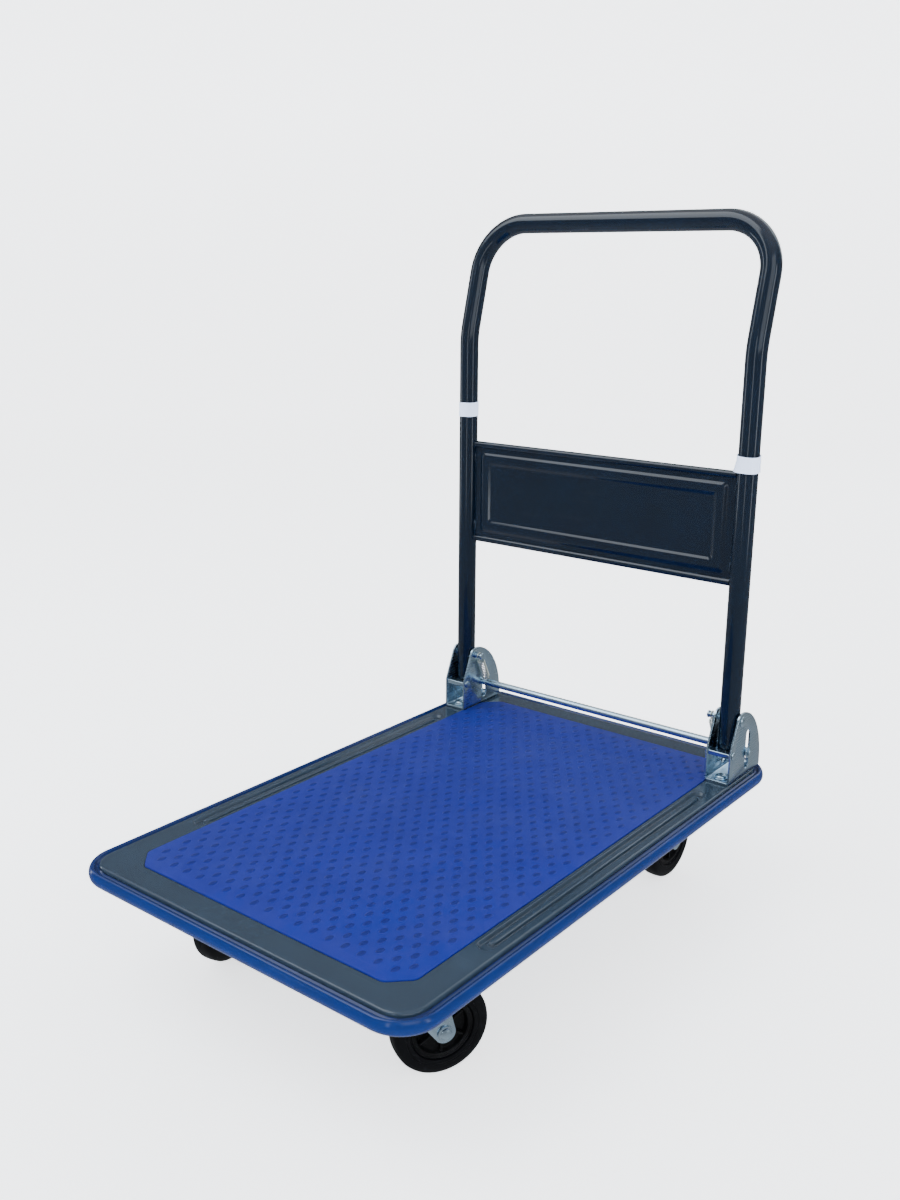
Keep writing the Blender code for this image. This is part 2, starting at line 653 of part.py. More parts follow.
def rigid_caster(side, sign):
    tag = "rear_" + side
    spot = pivot("rigid_caster_" + side, (sign * RIGID_X, RIGID_Y, 0))
    low = PLATE_TOP - PLATE_SHEET
    legs = [(-28 * MM, low + MM), (-27 * MM, low - 12 * MM)]
    legs += arc((0, WHEEL_R), EYE_R, 195, 345, 8)
    legs += [(27 * MM, low - 12 * MM), (28 * MM, low + MM)]
    fork = fork_shape("fork_" + tag, legs, low, 0, spot)
    outline = rounded(PLATE_HALF, 6 * MM, 3)
    plate = [at_z(outline, low), at_z(outline, PLATE_TOP)]
    weld(fork, loft("rigid_plate_" + side, plate, "zinc", parent=spot))
    axle = pivot("axle_axis_" + tag, (0, 0, WHEEL_R), parent=spot)
    wheel(tag, axle)
    axle_set(tag, axle)


# ---------------------------------------------------------------- assembly

def main():
    for old in list(bpy.data.objects):
        bpy.data.objects.remove(old)
    deck_pan()
    deck_mat()
    edge_bumper()
    underside()
    handle_parts = [handle_tube(), back_panel()]
    release_rod()
    for side, sign in SIDES.items():
        hinge_bracket(side, sign)
        bracket_hardware(side, sign)
        handle_parts.append(tape_band(side, sign))
        return_spring(side, sign)
        swivel_caster(side, sign)
        rigid_caster(side, sign)
    hinge = (0, PIVOT_Y, PIVOT_Z)
    for piece in handle_parts:
        put_origin(piece, hinge)


main()
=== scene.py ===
"""Folding platform cart: the finished look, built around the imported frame.

Metres, +Z up. X runs across the deck and +Y points to the handle end.
"""
import json
import math

import bmesh
import bpy
from bpy.props import FloatProperty, FloatVectorProperty, IntProperty, PointerProperty
from mathutils import Matrix, Vector

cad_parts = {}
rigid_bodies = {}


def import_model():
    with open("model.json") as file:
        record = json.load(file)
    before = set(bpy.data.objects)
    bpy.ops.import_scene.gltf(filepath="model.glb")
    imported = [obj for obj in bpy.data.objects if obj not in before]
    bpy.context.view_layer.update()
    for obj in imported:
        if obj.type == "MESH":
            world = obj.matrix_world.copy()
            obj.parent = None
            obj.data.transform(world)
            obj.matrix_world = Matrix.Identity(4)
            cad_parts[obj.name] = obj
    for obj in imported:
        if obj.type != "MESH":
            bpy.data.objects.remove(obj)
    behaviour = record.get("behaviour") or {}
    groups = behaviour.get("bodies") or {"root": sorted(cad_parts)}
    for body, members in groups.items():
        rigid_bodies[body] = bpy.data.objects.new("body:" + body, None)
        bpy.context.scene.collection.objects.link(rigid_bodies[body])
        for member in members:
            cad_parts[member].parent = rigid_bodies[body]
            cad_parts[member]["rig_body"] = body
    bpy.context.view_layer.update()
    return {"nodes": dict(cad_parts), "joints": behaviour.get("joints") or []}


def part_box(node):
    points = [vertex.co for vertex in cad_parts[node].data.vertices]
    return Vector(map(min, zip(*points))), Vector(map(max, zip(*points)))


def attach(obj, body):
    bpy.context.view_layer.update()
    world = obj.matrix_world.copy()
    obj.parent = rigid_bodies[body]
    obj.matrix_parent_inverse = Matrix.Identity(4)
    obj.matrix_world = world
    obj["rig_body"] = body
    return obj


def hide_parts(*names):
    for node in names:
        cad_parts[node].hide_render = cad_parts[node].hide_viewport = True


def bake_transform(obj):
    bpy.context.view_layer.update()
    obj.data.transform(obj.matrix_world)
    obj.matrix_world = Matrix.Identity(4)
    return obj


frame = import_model()

bl_info = {
    "name": "Folding platform cart",
    "version": (1, 0, 0),
    "blender": (4, 5, 0),
    "location": "3D View > Sidebar > Cart",
    "description": "Models the pieces and finishes of a folding platform cart",
    "category": "Object",
}

MM = 0.001
SIDES = {"left": -1, "right": 1}
ENDS = ("front", "rear")
JOINTS = {row["name"]: row for row in frame["joints"]}
GAP = 0.3 * MM  # left between pieces that would otherwise share a face
MERGE = 0.02 * MM  # points nearer than this become one


def middle(node):
    low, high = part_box(node)
    return (low + high) / 2


def half_size(node):
    low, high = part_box(node)
    return (high - low) / 2


# Places that every piece is set out from, read from the frame.
DECK_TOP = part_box("deck_pan")[1].z
PAN_HALF = half_size("deck_pan")
MAT_HALF = half_size("deck_mat")
MAT_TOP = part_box("deck_mat")[1].z
PIVOT = Vector(JOINTS["handle_fold"]["pos_m"])
LEG_X = middle("hinge_bracket_right").x
BRACKET = half_size("hinge_bracket_right")
BRACKET_LOW, BRACKET_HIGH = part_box("hinge_bracket_right")
ROD = middle("release_rod")
TUBE_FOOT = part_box("handle_tube")[0].z


# ---------------------------------------------------------------- settings

def span(name, size, description):
    return FloatProperty(name=name, description=description, default=size * MM, unit="LENGTH")


def tint(name, rgb, description):
    linear = [((v / 255 + 0.055) / 1.055) ** 2.4 for v in rgb]
    return FloatVectorProperty(
        name=name, description=description, default=linear, subtype="COLOR", size=3, min=0, max=1
    )


class CartDeckSettings(bpy.types.PropertyGroup):
    sheet: span("Sheet", 1.5, "Thickness of the pressed deck")
    corner: span("Corner", 32, "Radius of the deck's corners")
    brow: span("Brow", 3, "Radius of the deck's pressed edge")
    mat_cut: span("Mat corner", 22, "Length that each corner of the mat is cut back")
    bump_across: span("Bump spacing across", 20.9, "Distance between bumps across the deck")
    bump_along: span("Bump spacing along", 28.3, "Distance between bumps along the deck")
    bump_width: span("Bump width", 7.4, "Width of one bump of the mat")
    bump_length: span("Bump length", 12.4, "Length of one bump of the mat")
    bump_height: span("Bump height", 0.75, "Height of one bump of the mat")


class CartHandleSettings(bpy.types.PropertyGroup):
    tube_radius: span("Tube radius", 12.5, "Outer radius of the handle's tube")
    tube_wall: span("Tube wall", 1.5, "Thickness of the tube's wall")
    kink_radius: span("Bend radius", 110, "Radius of the bend where the handle leans back")
    corner_radius: span("Corner radius", 63, "Radius of the handle's two top corners")
    kink_height: span("Bend height", 529, "Height above the deck at which the handle leans back")
    lean: FloatProperty(
        name="Lean", description="Angle that the top of the handle leans back",
        default=math.radians(14.5), subtype="ANGLE",
    )
    lean_length: span("Lean length", 149, "Length of the leaning part up to the top tube")
    roll_radius: span("Roll radius", 4.5, "Radius of the panel's rolled edges")
    panel_sheet: span("Panel sheet", 1.2, "Thickness of the pressed panel")


class CartRunningSettings(bpy.types.PropertyGroup):
    wheel_steps: IntProperty(
        name="Wheel facets", description="Facets round a tyre", default=72, min=24, max=128
    )
    spring_turns: IntProperty(
        name="Spring turns", description="Turns in a return spring", default=11, min=4, max=20
    )
    spring_wire: span("Spring wire", 0.85, "Radius of the return springs' wire")
    fork_sheet: span("Fork sheet", 2.5, "Thickness of the casters' pressed forks")


class CartColours(bpy.types.PropertyGroup):
    deck: tint("Deck", (33, 45, 58), "Slate grey paint of the deck")
    mat: tint("Mat", (13, 27, 112), "Blue of the deck mat")
    bumper: tint("Bumper", (0, 28, 78), "Blue of the edge bumper")
    handle: tint("Handle", (4, 15, 27), "Dark navy paint of the handle")
    zinc: tint("Zinc", (180, 205, 224), "Bright zinc plating")
    tape: tint("Tape", (196, 210, 238), "White adhesive tape")
    tyre: tint("Tyre", (2, 3, 7), "Black rubber of the tyres")
    hub: tint("Hub", (2, 3, 5), "Black plastic of the hubs")
    floor: tint("Floor", (246, 247, 249), "Pale studio floor")


# ---------------------------------------------------------------- modelling tools

def let_go():
    """Back to object mode with nothing selected."""
    if bpy.context.mode != "OBJECT":
        bpy.ops.object.mode_set(mode="OBJECT")
    bpy.ops.object.select_all(action="DESELECT")


def hold(*pieces):
    let_go()
    for piece in pieces:
        piece.select_set(True)
    bpy.context.view_layer.objects.active = pieces[0]


def edit(piece, kind="VERT"):
    """Into edit mode with the whole piece selected."""
    hold(piece)
    bpy.ops.object.mode_set(mode="EDIT")
    bpy.ops.mesh.select_mode(type=kind)
    bpy.ops.mesh.select_all(action="SELECT")


def named(name):
    piece = bpy.context.object
    piece.name = name
    piece.data.name = name
    return piece


def pull(step):
    """Extrudes the selection by a step."""
    bpy.ops.mesh.extrude_region_move(TRANSFORM_OT_translate={"value": tuple(step)})


def settle(piece):
    """Takes the object's place, turn and scale into its mesh."""
    hold(piece)
    bpy.ops.object.transform_apply(location=True, rotation=True, scale=True)
    return piece


def close_up(piece):
    """Merges doubled points and turns every face outwards."""
    edit(piece)
    bpy.ops.mesh.remove_doubles(threshold=MERGE)
    bpy.ops.mesh.normals_make_consistent(inside=False)
    let_go()
    return piece


def apply_step(piece, kind, **values):
    hold(piece)
    bpy.ops.object.modifier_add(type=kind)
    step = piece.modifiers[-1]
    for key, value in values.items():
        setattr(step, key, value)
    bpy.ops.object.modifier_apply(modifier=step.name)
    return piece


def soften(piece, width, segments=2, angle=32):
    """Rounds every edge sharper than the angle, width in mm."""
    return apply_step(
        piece, "BEVEL", width=width * MM, segments=segments, limit_method="ANGLE",
        angle_limit=math.radians(angle), use_clamp_overlap=True, miter_outer="MITER_ARC",
    )


def carve(piece, *tools, operation="DIFFERENCE"):
    for tool in tools:
        apply_step(piece, "BOOLEAN", operation=operation, object=tool, solver="EXACT")
        bpy.data.objects.remove(tool)
    return piece


def join(name, *pieces):
    hold(*pieces)
    if len(pieces) > 1:
        bpy.ops.object.join()
    return named(name)


def twin(piece, name, place, turn=0.0):
    """A copy with a mesh of its own, turned about Z and moved."""
    hold(piece)
    bpy.ops.object.duplicate(linked=False)
    made = named(name)
    made.location = place
    made.rotation_euler = (0, 0, turn)
    return settle(made)


def line(name, points, close=False):
    """Edges through points, drawn by extruding one vertex, left in edit mode."""
    let_go()
    points = [Vector(p) for p in points]
    if close:
        points.append(points[0])
    bpy.ops.mesh.primitive_plane_add(size=0.01)
    piece = named(name)
    edit(piece)
    bpy.ops.mesh.merge(type="CENTER")
    bpy.ops.transform.translate(value=points[0])
    for before, after in zip(points, points[1:]):
        pull(after - before)
    bpy.ops.mesh.select_all(action="SELECT")
    if close:
        bpy.ops.mesh.remove_doubles(threshold=MERGE)
        bpy.ops.mesh.select_all(action="SELECT")
    return piece


def slab(name, points, depth):
    """A plate of the closed outline, depth thick along a vector."""
    piece = line(name, points, close=True)
    bpy.ops.mesh.edge_face_add()
    pull(depth)
    return close_up(piece)


def turned(name, profile, place=(0, 0, 0), axis="Z", steps=48, loop=False):
    """Turns (along, radius) points in mm about an axis through place."""
    place = Vector(place)
    along = Vector((0, 0, 1)) if axis == "Z" else Vector((1, 0, 0))
    out = Vector((1, 0, 0)) if axis == "Z" else Vector((0, 0, 1))
    points = [place + along * a * MM + out * r * MM for a, r in profile]
    if loop:
        points.append(points[0])
    piece = line(name, points)
    bpy.ops.mesh.spin(steps=steps, angle=math.tau, center=place, axis=along)
    return close_up(piece)


def box(name, low, high):
    """A block between two corners, for shaping or cutting."""
    let_go()
    low, high = Vector(low), Vector(high)
    bpy.ops.mesh.primitive_cube_add(size=1, location=(low + high) / 2, scale=high - low)
    return settle(named(name))


def pin_tool(name, place, radius, reach, axis="X", steps=32):
    profile = [(-reach, 0), (-reach, radius), (reach, radius), (reach, 0)]
    return turned(name, profile, place, axis, steps)


def arc(centre, radius, start, end, steps):
    """Points of a plane arc, angles in degrees, both ends included."""
    turns = [math.radians(start + (end - start) * i / steps) for i in range(steps + 1)]
    return [(centre[0] + radius * math.cos(a), centre[1] + radius * math.sin(a)) for a in turns]


def at_x(outline, x):
    return [Vector((x, y, z)) for y, z in outline]


def smooth_line(points, steps):
    """A closed smooth curve through points, steps pieces between each two."""
    count = len(points)
    result = []
    for i in range(count):
        p0, p1, p2, p3 = (Vector(points[(i + k - 1) % count]) for k in range(4))
        for k in range(steps):
            t = k / steps
            result.append(
                0.5 * (2 * p1 + (p2 - p0) * t + (2 * p0 - 5 * p1 + 4 * p2 - p3) * t * t
                       + (3 * p1 - p0 - 3 * p2 + p3) * t ** 3)
            )
    return result


def flat_outline(name, half, corner, place, steps, soft=0.0):
    """A flat rectangle whose corners are rounded, or cut and softened; sizes in metres."""
    let_go()
    bpy.ops.mesh.primitive_plane_add(size=2, location=place)
    piece = named(name)
    piece.scale = (half[0], half[1], 1)
    settle(piece)
    edit(piece)
    bpy.ops.mesh.bevel(offset_type="OFFSET", offset=corner, segments=steps, affect="VERTICES")
    if soft:
        bpy.ops.mesh.select_all(action="SELECT")
        bpy.ops.mesh.bevel(offset_type="OFFSET", offset=soft, segments=4, affect="VERTICES")
    return piece


def pick_rim(piece, test):
    """Selects the open edges whose middle passes the test."""
    bpy.ops.mesh.select_mode(type="EDGE")
    bpy.ops.mesh.select_all(action="DESELECT")
    mesh = bmesh.from_edit_mesh(piece.data)
    for edge in mesh.edges:
        if edge.is_boundary and test((edge.verts[0].co + edge.verts[1].co) / 2):
            edge.select_set(True)
    bmesh.update_edit_mesh(piece.data)


def grow_rims(rings, centre):
    """Extrudes the selected rim through (half x, half y, z) rings about a centre."""
    for before, after in zip(rings, rings[1:]):
        step = (0, 0, after[2] - before[2])
        bpy.ops.mesh.extrude_edges_move(TRANSFORM_OT_translate={"value": step})
        scale = (after[0] / before[0], after[1] / before[1], 1)
        bpy.ops.transform.resize(value=scale, center_override=centre)


def plug(name, half, corner, place, depth, steps, soft=0.0):
    """A flat outline drawn out along Z into a solid."""
    piece = flat_outline(name, half, corner, place, steps, soft)
    pull((0, 0, depth))
    return close_up(piece)


def fill_between(name, *outlines):
    """One flat sheet inside the first outline, the others left open in it."""
    sheet = join(name, *outlines)
    edit(sheet)
    bpy.ops.mesh.delete(type="ONLY_FACE")
    bpy.ops.mesh.select_mode(type="EDGE")
    bpy.ops.mesh.select_all(action="SELECT")
    bpy.ops.mesh.fill(use_beauty=True)
    return sheet


def round_folds(piece, level, radius, across=0):
    """Rounds the edges at a height that run square to an axis."""
    edit(piece, "EDGE")
    bpy.ops.mesh.select_all(action="DESELECT")
    mesh = bmesh.from_edit_mesh(piece.data)
    for edge in mesh.edges:
        a, b = (vert.co for vert in edge.verts)
        at_level = max(abs(a.z - level), abs(b.z - level)) < 0.2 * MM
        if at_level and abs(a[across] - b[across]) < 0.1 * MM:
            edge.select_set(True)
    bmesh.update_edit_mesh(piece.data)
    bpy.ops.mesh.bevel(offset=radius, segments=5, affect="EDGES")
    let_go()


def turn_out(piece, outward):
    """Turns a sheet over if its faces point against the direction given for each one."""
    if sum(face.normal.dot(outward(face)) * face.area for face in piece.data.polygons) < 0:
        edit(piece)
        bpy.ops.mesh.flip_normals()
        let_go()


def wire(name, points, radius, sides=3):
    """A round wire through points."""
    piece = line(name, points)
    let_go()
    hold(piece)
    bpy.ops.object.convert(target="CURVE")
    piece = named(name)
    piece.data.bevel_depth = radius
    piece.data.bevel_resolution = sides
    piece.data.use_fill_caps = True
    bpy.ops.object.convert(target="MESH")
    return close_up(named(name))


def hand_over(piece, body, slot, node, angle=30, look=None):
    """Shades a finished piece, gives it the finish of its slot or look, ties it to its body if it
    has one and hides the CAD node it replaces.
    """
    settle(piece)
    bpy.ops.object.shade_smooth_by_angle(angle=math.radians(angle))
    piece.data.materials.clear()
    piece.data.materials.append(FINISHES[look or slot])
    if body:
        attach(piece, body)
    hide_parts(node)
    let_go()


# ---------------------------------------------------------------- shared effects

def add(tree, kind, **values):
    made = tree.nodes.new(kind)
    for key, value in values.items():
        setattr(made, key, value)
    return made


def wire_up(tree, source, target):
    tree.links.new(source, target)


def start_group(name, inputs, outputs):
    """The tree of a new shader node group, with its input and output nodes."""
    tree = bpy.data.node_groups.new(name, "ShaderNodeTree")
    for label, default in inputs:
        kind = "NodeSocketColor" if isinstance(default, tuple) else "NodeSocketFloat"
        socket = tree.interface.new_socket(label, in_out="INPUT", socket_type=kind)
        socket.default_value = default
    for label, kind in outputs:
        tree.interface.new_socket(label, in_out="OUTPUT", socket_type=kind)
    return tree, add(tree, "NodeGroupInput"), add(tree, "NodeGroupOutput")


def sums(tree, operation, first, second=None, clamp=False):
    """A Math node; each input is a socket or a number."""
    made = add(tree, "ShaderNodeMath", operation=operation, use_clamp=clamp)
    for i, value in enumerate((first, second)):
        if value is None:
            continue
        if isinstance(value, (int, float)):
            made.inputs[i].default_value = value
        else:
            wire_up(tree, value, made.inputs[i])
    return made.outputs[0]


def remap(tree, value, low, high, out_low=0.0, out_high=1.0):
    made = add(tree, "ShaderNodeMapRange", interpolation_type="SMOOTHSTEP")
    wire_up(tree, value, made.inputs["Value"])
    made.inputs["From Min"].default_value = low
    made.inputs["From Max"].default_value = high
    made.inputs["To Min"].default_value = out_low
    made.inputs["To Max"].default_value = out_high
    return made.outputs[0]


def noise(tree, scale, detail=4.0, stretch=None, rough=0.55):
    """Noise on the object's own coordinates; scale is a number or a socket."""
    place = add(tree, "ShaderNodeTexCoord").outputs["Object"]
    if stretch:
        mapping = add(tree, "ShaderNodeMapping")
        mapping.inputs["Scale"].default_value = stretch
        wire_up(tree, place, mapping.inputs["Vector"])
        place = mapping.outputs[0]
    made = add(tree, "ShaderNodeTexNoise")
    wire_up(tree, place, made.inputs["Vector"])
    if isinstance(scale, (int, float)):
        made.inputs["Scale"].default_value = scale
    else:
        wire_up(tree, scale, made.inputs["Scale"])
    made.inputs["Detail"].default_value = detail
    made.inputs["Roughness"].default_value = rough
    return made.outputs["Fac"]


def blend_colours(tree, amount, first, second):
    made = add(tree, "ShaderNodeMix", data_type="RGBA")
    for value, key in ((amount, 0), (first, 6), (second, 7)):
        if isinstance(value, (int, float)):
            made.inputs[key].default_value = value
        elif isinstance(value, (tuple, list)):
            made.inputs[key].default_value = (*value[:3], 1)
        else:
            wire_up(tree, value, made.inputs[key])
    return made.outputs[2]


def start_mask(name):
    return start_group(name, [("Amount", 0.5)], [("Mask", "NodeSocketFloat")])


def put_mask(tree, inside, out, *parts):
    """Sends the product of the parts and the group's amount to its mask."""
    mask = sums(tree, "MULTIPLY", sums(tree, "MULTIPLY", *parts), inside.outputs["Amount"])
    wire_up(tree, mask, out.inputs["Mask"])


def make_groups():
    """The effects that several finishes share."""
    tree, inside, out = start_group(
        "surface_grain", [("Scale", 400.0)],
        [("Height", "NodeSocketFloat"), ("Shade", "NodeSocketFloat")],
    )
    wire_up(tree, noise(tree, inside.outputs["Scale"], 5.0), out.inputs["Height"])
    wire_up(tree, remap(tree, noise(tree, 14.0, 6.0), 0.3, 0.7), out.inputs["Shade"])

    tree, inside, out = start_mask("fine_scratches")
    across = remap(tree, noise(tree, 9.0, 3.0, (1, 26, 24)), 0.64, 0.70)
    along = remap(tree, noise(tree, 7.0, 3.0, (24, 1, 22)), 0.66, 0.72)
    both = sums(tree, "ADD", across, along, clamp=True)
    patches = remap(tree, noise(tree, 6.0, 2.0), 0.45, 0.65)
    put_mask(tree, inside, out, both, patches)

    tree, inside, out = start_mask("worn_edges")
    rounded = add(tree, "ShaderNodeBevel", samples=4)
    rounded.inputs["Radius"].default_value = 1.2 * MM
    plain = add(tree, "ShaderNodeNewGeometry")
    facing = add(tree, "ShaderNodeVectorMath", operation="DOT_PRODUCT")
    wire_up(tree, rounded.outputs[0], facing.inputs[0])
    wire_up(tree, plain.outputs["Normal"], facing.inputs[1])
    edge = remap(tree, sums(tree, "SUBTRACT", 1.0, facing.outputs["Value"]), 0.01, 0.12)
    rubbed = remap(tree, noise(tree, 55.0, 5.0), 0.42, 0.62)
    put_mask(tree, inside, out, edge, rubbed)

    tree, inside, out = start_mask("settled_dust")
    facing = add(tree, "ShaderNodeSeparateXYZ")
    wire_up(tree, add(tree, "ShaderNodeNewGeometry").outputs["Normal"], facing.inputs[0])
    level = remap(tree, facing.outputs["Z"], 0.2, 1.0)
    cloudy = remap(tree, noise(tree, 18.0, 8.0, rough=0.7), 0.35, 0.75)
    put_mask(tree, inside, out, level, cloudy)


def effect(tree, group, output, **inputs):
    made = add(tree, "ShaderNodeGroup")
    made.node_tree = bpy.data.node_groups[group]
    for key, value in inputs.items():
        made.inputs[key].default_value = value
    return made.outputs[output]


def finish(name, colour, rough, metal=0.0, grain=400.0, depth=0.04, shade=0.25, second=None,
           edge=None, edge_amount=0.0, dust=0.0, scratch=0.0, rough_spread=0.12, specular=0.5,
           pattern=None):
    """One material: a base colour with mottle, worn edges, scratches, dust and a fine grain."""
    paint = bpy.data.materials.new(name)
    paint.use_nodes = True
    tree = paint.node_tree
    shader = tree.nodes["Principled BSDF"]
    shader.inputs["Metallic"].default_value = metal
    shader.inputs["Specular IOR Level"].default_value = specular
    colour = tuple(colour)
    darker = tuple(second) if second else tuple(c * (1 - shade) for c in colour)
    mottle = effect(tree, "surface_grain", "Shade", Scale=grain)
    base = blend_colours(tree, mottle, colour, darker)
    roughness = remap(tree, mottle, 0, 1, rough, rough + rough_spread)
    height = effect(tree, "surface_grain", "Height", Scale=grain)
    if pattern:
        base, roughness, height = pattern(tree, base, roughness, height)
    if scratch:
        mask = effect(tree, "fine_scratches", "Mask", Amount=scratch)
        lighter = tuple(min(1, c * 1.6 + 0.05) for c in colour)
        base = blend_colours(tree, mask, base, lighter)
        roughness = sums(tree, "ADD", roughness, sums(tree, "MULTIPLY", mask, 0.2), clamp=True)
    if edge:
        mask = effect(tree, "worn_edges", "Mask", Amount=edge_amount)
        base = blend_colours(tree, mask, base, edge)
    if dust:
        mask = effect(tree, "settled_dust", "Mask", Amount=dust)
        base = blend_colours(tree, mask, base, (0.42, 0.43, 0.42))
        roughness = sums(tree, "ADD", roughness, sums(tree, "MULTIPLY", mask, 0.35), clamp=True)
    wire_up(tree, base, shader.inputs["Base Color"])
    wire_up(tree, roughness, shader.inputs["Roughness"])
    bump = add(tree, "ShaderNodeBump")
    bump.inputs["Strength"].default_value = 0.5
    bump.inputs["Distance"].default_value = depth * MM
    wire_up(tree, height, bump.inputs["Height"])
    wire_up(tree, bump.outputs[0], shader.inputs["Normal"])
    return paint


# ---------------------------------------------------------------- finishes of this cart

def mat_emboss_and_bump_shade(tree, base, roughness, height):
    """Fine leather-like emboss of the mat, plus painted shade that darkens its bumps; the bumps are
    also smoother than the ground.
    """
    tints = bpy.context.scene.cart_colours
    place = add(tree, "ShaderNodeTexCoord").outputs["Object"]
    cells = add(tree, "ShaderNodeTexVoronoi", feature="DISTANCE_TO_EDGE")
    cells.inputs["Scale"].default_value = 900.0
    wire_up(tree, place, cells.inputs["Vector"])
    creases = remap(tree, cells.outputs["Distance"], 0.0, 0.18)
    grain, creases = (sums(tree, "MULTIPLY", part, 0.6) for part in (height, creases))
    height = sums(tree, "ADD", grain, creases)
    level = add(tree, "ShaderNodeSeparateXYZ")
    wire_up(tree, place, level.inputs[0])
    foot, crown = MAT_TOP + 0.05 * MM, MAT_TOP + 0.45 * MM
    # Painted shade: each bump's colour is darkened toward 0.3 of the mat's blue by its height above
    # the mat, standing in for the sheen that the bumps break.
    bumps = remap(tree, level.outputs["Z"], foot, crown, 0.0, 0.55)
    base = blend_colours(tree, bumps, base, tuple(c * 0.3 for c in tints.mat))
    roughness = sums(tree, "SUBTRACT", roughness, sums(tree, "MULTIPLY", bumps, 0.05), clamp=True)
    rubbed = remap(tree, noise(tree, 7.0, 6.0, rough=0.65), 0.5, 0.8, 0.0, 0.05)
    base = blend_colours(tree, rubbed, base, tuple(min(1, c * 1.7 + 0.02) for c in tints.mat))
    return base, roughness, height


def brushed(tree, base, roughness, height):
    """Rolling marks of the sheet and the faint tints of bright zinc."""
    lines = noise(tree, 30.0, 6.0, (1, 1, 34), rough=0.7)
    tinted = remap(tree, noise(tree, 26.0, 3.0), 0.40, 0.66, 0.0, 0.2)
    base = blend_colours(tree, tinted, base, (0.56, 0.60, 0.54))
    cool = remap(tree, noise(tree, 34.0, 3.0, (1, 2, 1)), 0.45, 0.7, 0.0, 0.3)
    base = blend_colours(tree, cool, base, (0.36, 0.47, 0.62))
    roughness = sums(tree, "ADD", roughness, remap(tree, lines, 0.3, 0.7, -0.05, 0.08), clamp=True)
    return base, roughness, sums(tree, "ADD", height, lines)


def cloth_tape(tree, base, roughness, height):
    """Crossed threads under the tape's film."""
    place = add(tree, "ShaderNodeTexCoord").outputs["Object"]
    threads = []
    for direction in ("Z", "X"):
        wave = add(tree, "ShaderNodeTexWave", wave_type="BANDS", bands_direction=direction)
        wave.inputs["Scale"].default_value = 420.0
        wave.inputs["Distortion"].default_value = 1.2
        wire_up(tree, place, wave.inputs["Vector"])
        threads.append(wave.outputs["Fac"])
    woven = sums(tree, "MULTIPLY", sums(tree, "ADD", *threads), 0.5)
    base = blend_colours(tree, remap(tree, woven, 0.2, 0.8, 0.0, 0.22), base, (0.42, 0.48, 0.60))
    return base, roughness, sums(tree, "ADD", height, woven)


def tyre_grime(tree, base, roughness, height):
    """Floor dust held on the tread and in the side of the rubber."""
    grime = remap(tree, noise(tree, 42.0, 9.0, rough=0.75), 0.5, 0.76, 0.0, 0.12)
    base = blend_colours(tree, grime, base, (0.02, 0.021, 0.024))
    roughness = sums(tree, "ADD", roughness, grime, clamp=True)
    return base, roughness, height


FINISHES = {}


def make_finishes(tints):
    looks = {
        "deck_paint": dict(
            colour=tints.deck, rough=0.13, grain=900.0, depth=0.03, shade=0.1, specular=0.36,
            edge=(0.16, 0.2, 0.26), edge_amount=0.25, scratch=0.08, rough_spread=0.05,
        ),
        "blue_pvc": dict(
            colour=tints.mat, rough=0.42, grain=1400.0, depth=0.10, shade=0.1, dust=0.01,
            scratch=0.06, specular=0.14, pattern=mat_emboss_and_bump_shade,
        ),
        "bumper_pvc": dict(
            colour=tints.bumper, rough=0.15, grain=300.0, depth=0.015, shade=0.12,
            scratch=0.06, rough_spread=0.06, specular=0.32,
        ),
        "handle_paint": dict(
            colour=tints.handle, rough=0.1, grain=1600.0, depth=0.006, shade=0.2, specular=0.48,
            edge=(0.08, 0.12, 0.17), edge_amount=0.3, scratch=0.06, rough_spread=0.05,
        ),
        "zinc": dict(
            colour=tints.zinc, rough=0.18, metal=1.0, grain=1200.0, depth=0.012, shade=0.12,
            edge=(0.5, 0.53, 0.56), edge_amount=0.5, scratch=0.25, pattern=brushed,
        ),
        "white_tape": dict(
            colour=tints.tape, rough=0.42, grain=800.0, depth=0.07, shade=0.07,
            pattern=cloth_tape,
        ),
        "tyre_rubber": dict(
            colour=tints.tyre, rough=0.5, grain=500.0, depth=0.08, shade=0.3, specular=0.12,
            pattern=tyre_grime,
        ),
        "hub_plastic": dict(
            colour=tints.hub, rough=0.36, grain=600.0, depth=0.05, shade=0.3, specular=0.15,
            edge=(0.015, 0.015, 0.018), edge_amount=0.4, dust=0.01,
        ),
        "spring_steel": dict(
            colour=(0.58, 0.62, 0.58), rough=0.3, metal=1.0, grain=900.0, depth=0.02, shade=0.3,
            second=(0.36, 0.38, 0.34), edge=(0.7, 0.72, 0.7), edge_amount=0.3,
        ),
    }
    for name, values in looks.items():
        FINISHES[name] = finish(name, **values)


class CART_OT_finishes(bpy.types.Operator):
    """Make the shared effects and the finishes of all pieces"""

    bl_idname = "cart.finishes"
    bl_label = "Finishes"

    def execute(self, context):
        make_groups()
        make_finishes(context.scene.cart_colours)
        return {"FINISHED"}


# ---------------------------------------------------------------- deck

BEAD_X = 206 * MM  # from the middle of the deck to each long pressed bead
FLAT = 0.6 * MM  # level strip between the deck's sheet and its rounded brow


def quarter(half, radius, turns, top, sign):
    """Rings of a bend that drops from a level, going outwards or inwards."""
    rings = []
    for turn in map(math.radians, turns):
        out = sign * radius * math.sin(turn)
        drop = radius * (1 - math.cos(turn))
        rings.append((half[0] + out, half[1] + out, top - drop))
    return rings


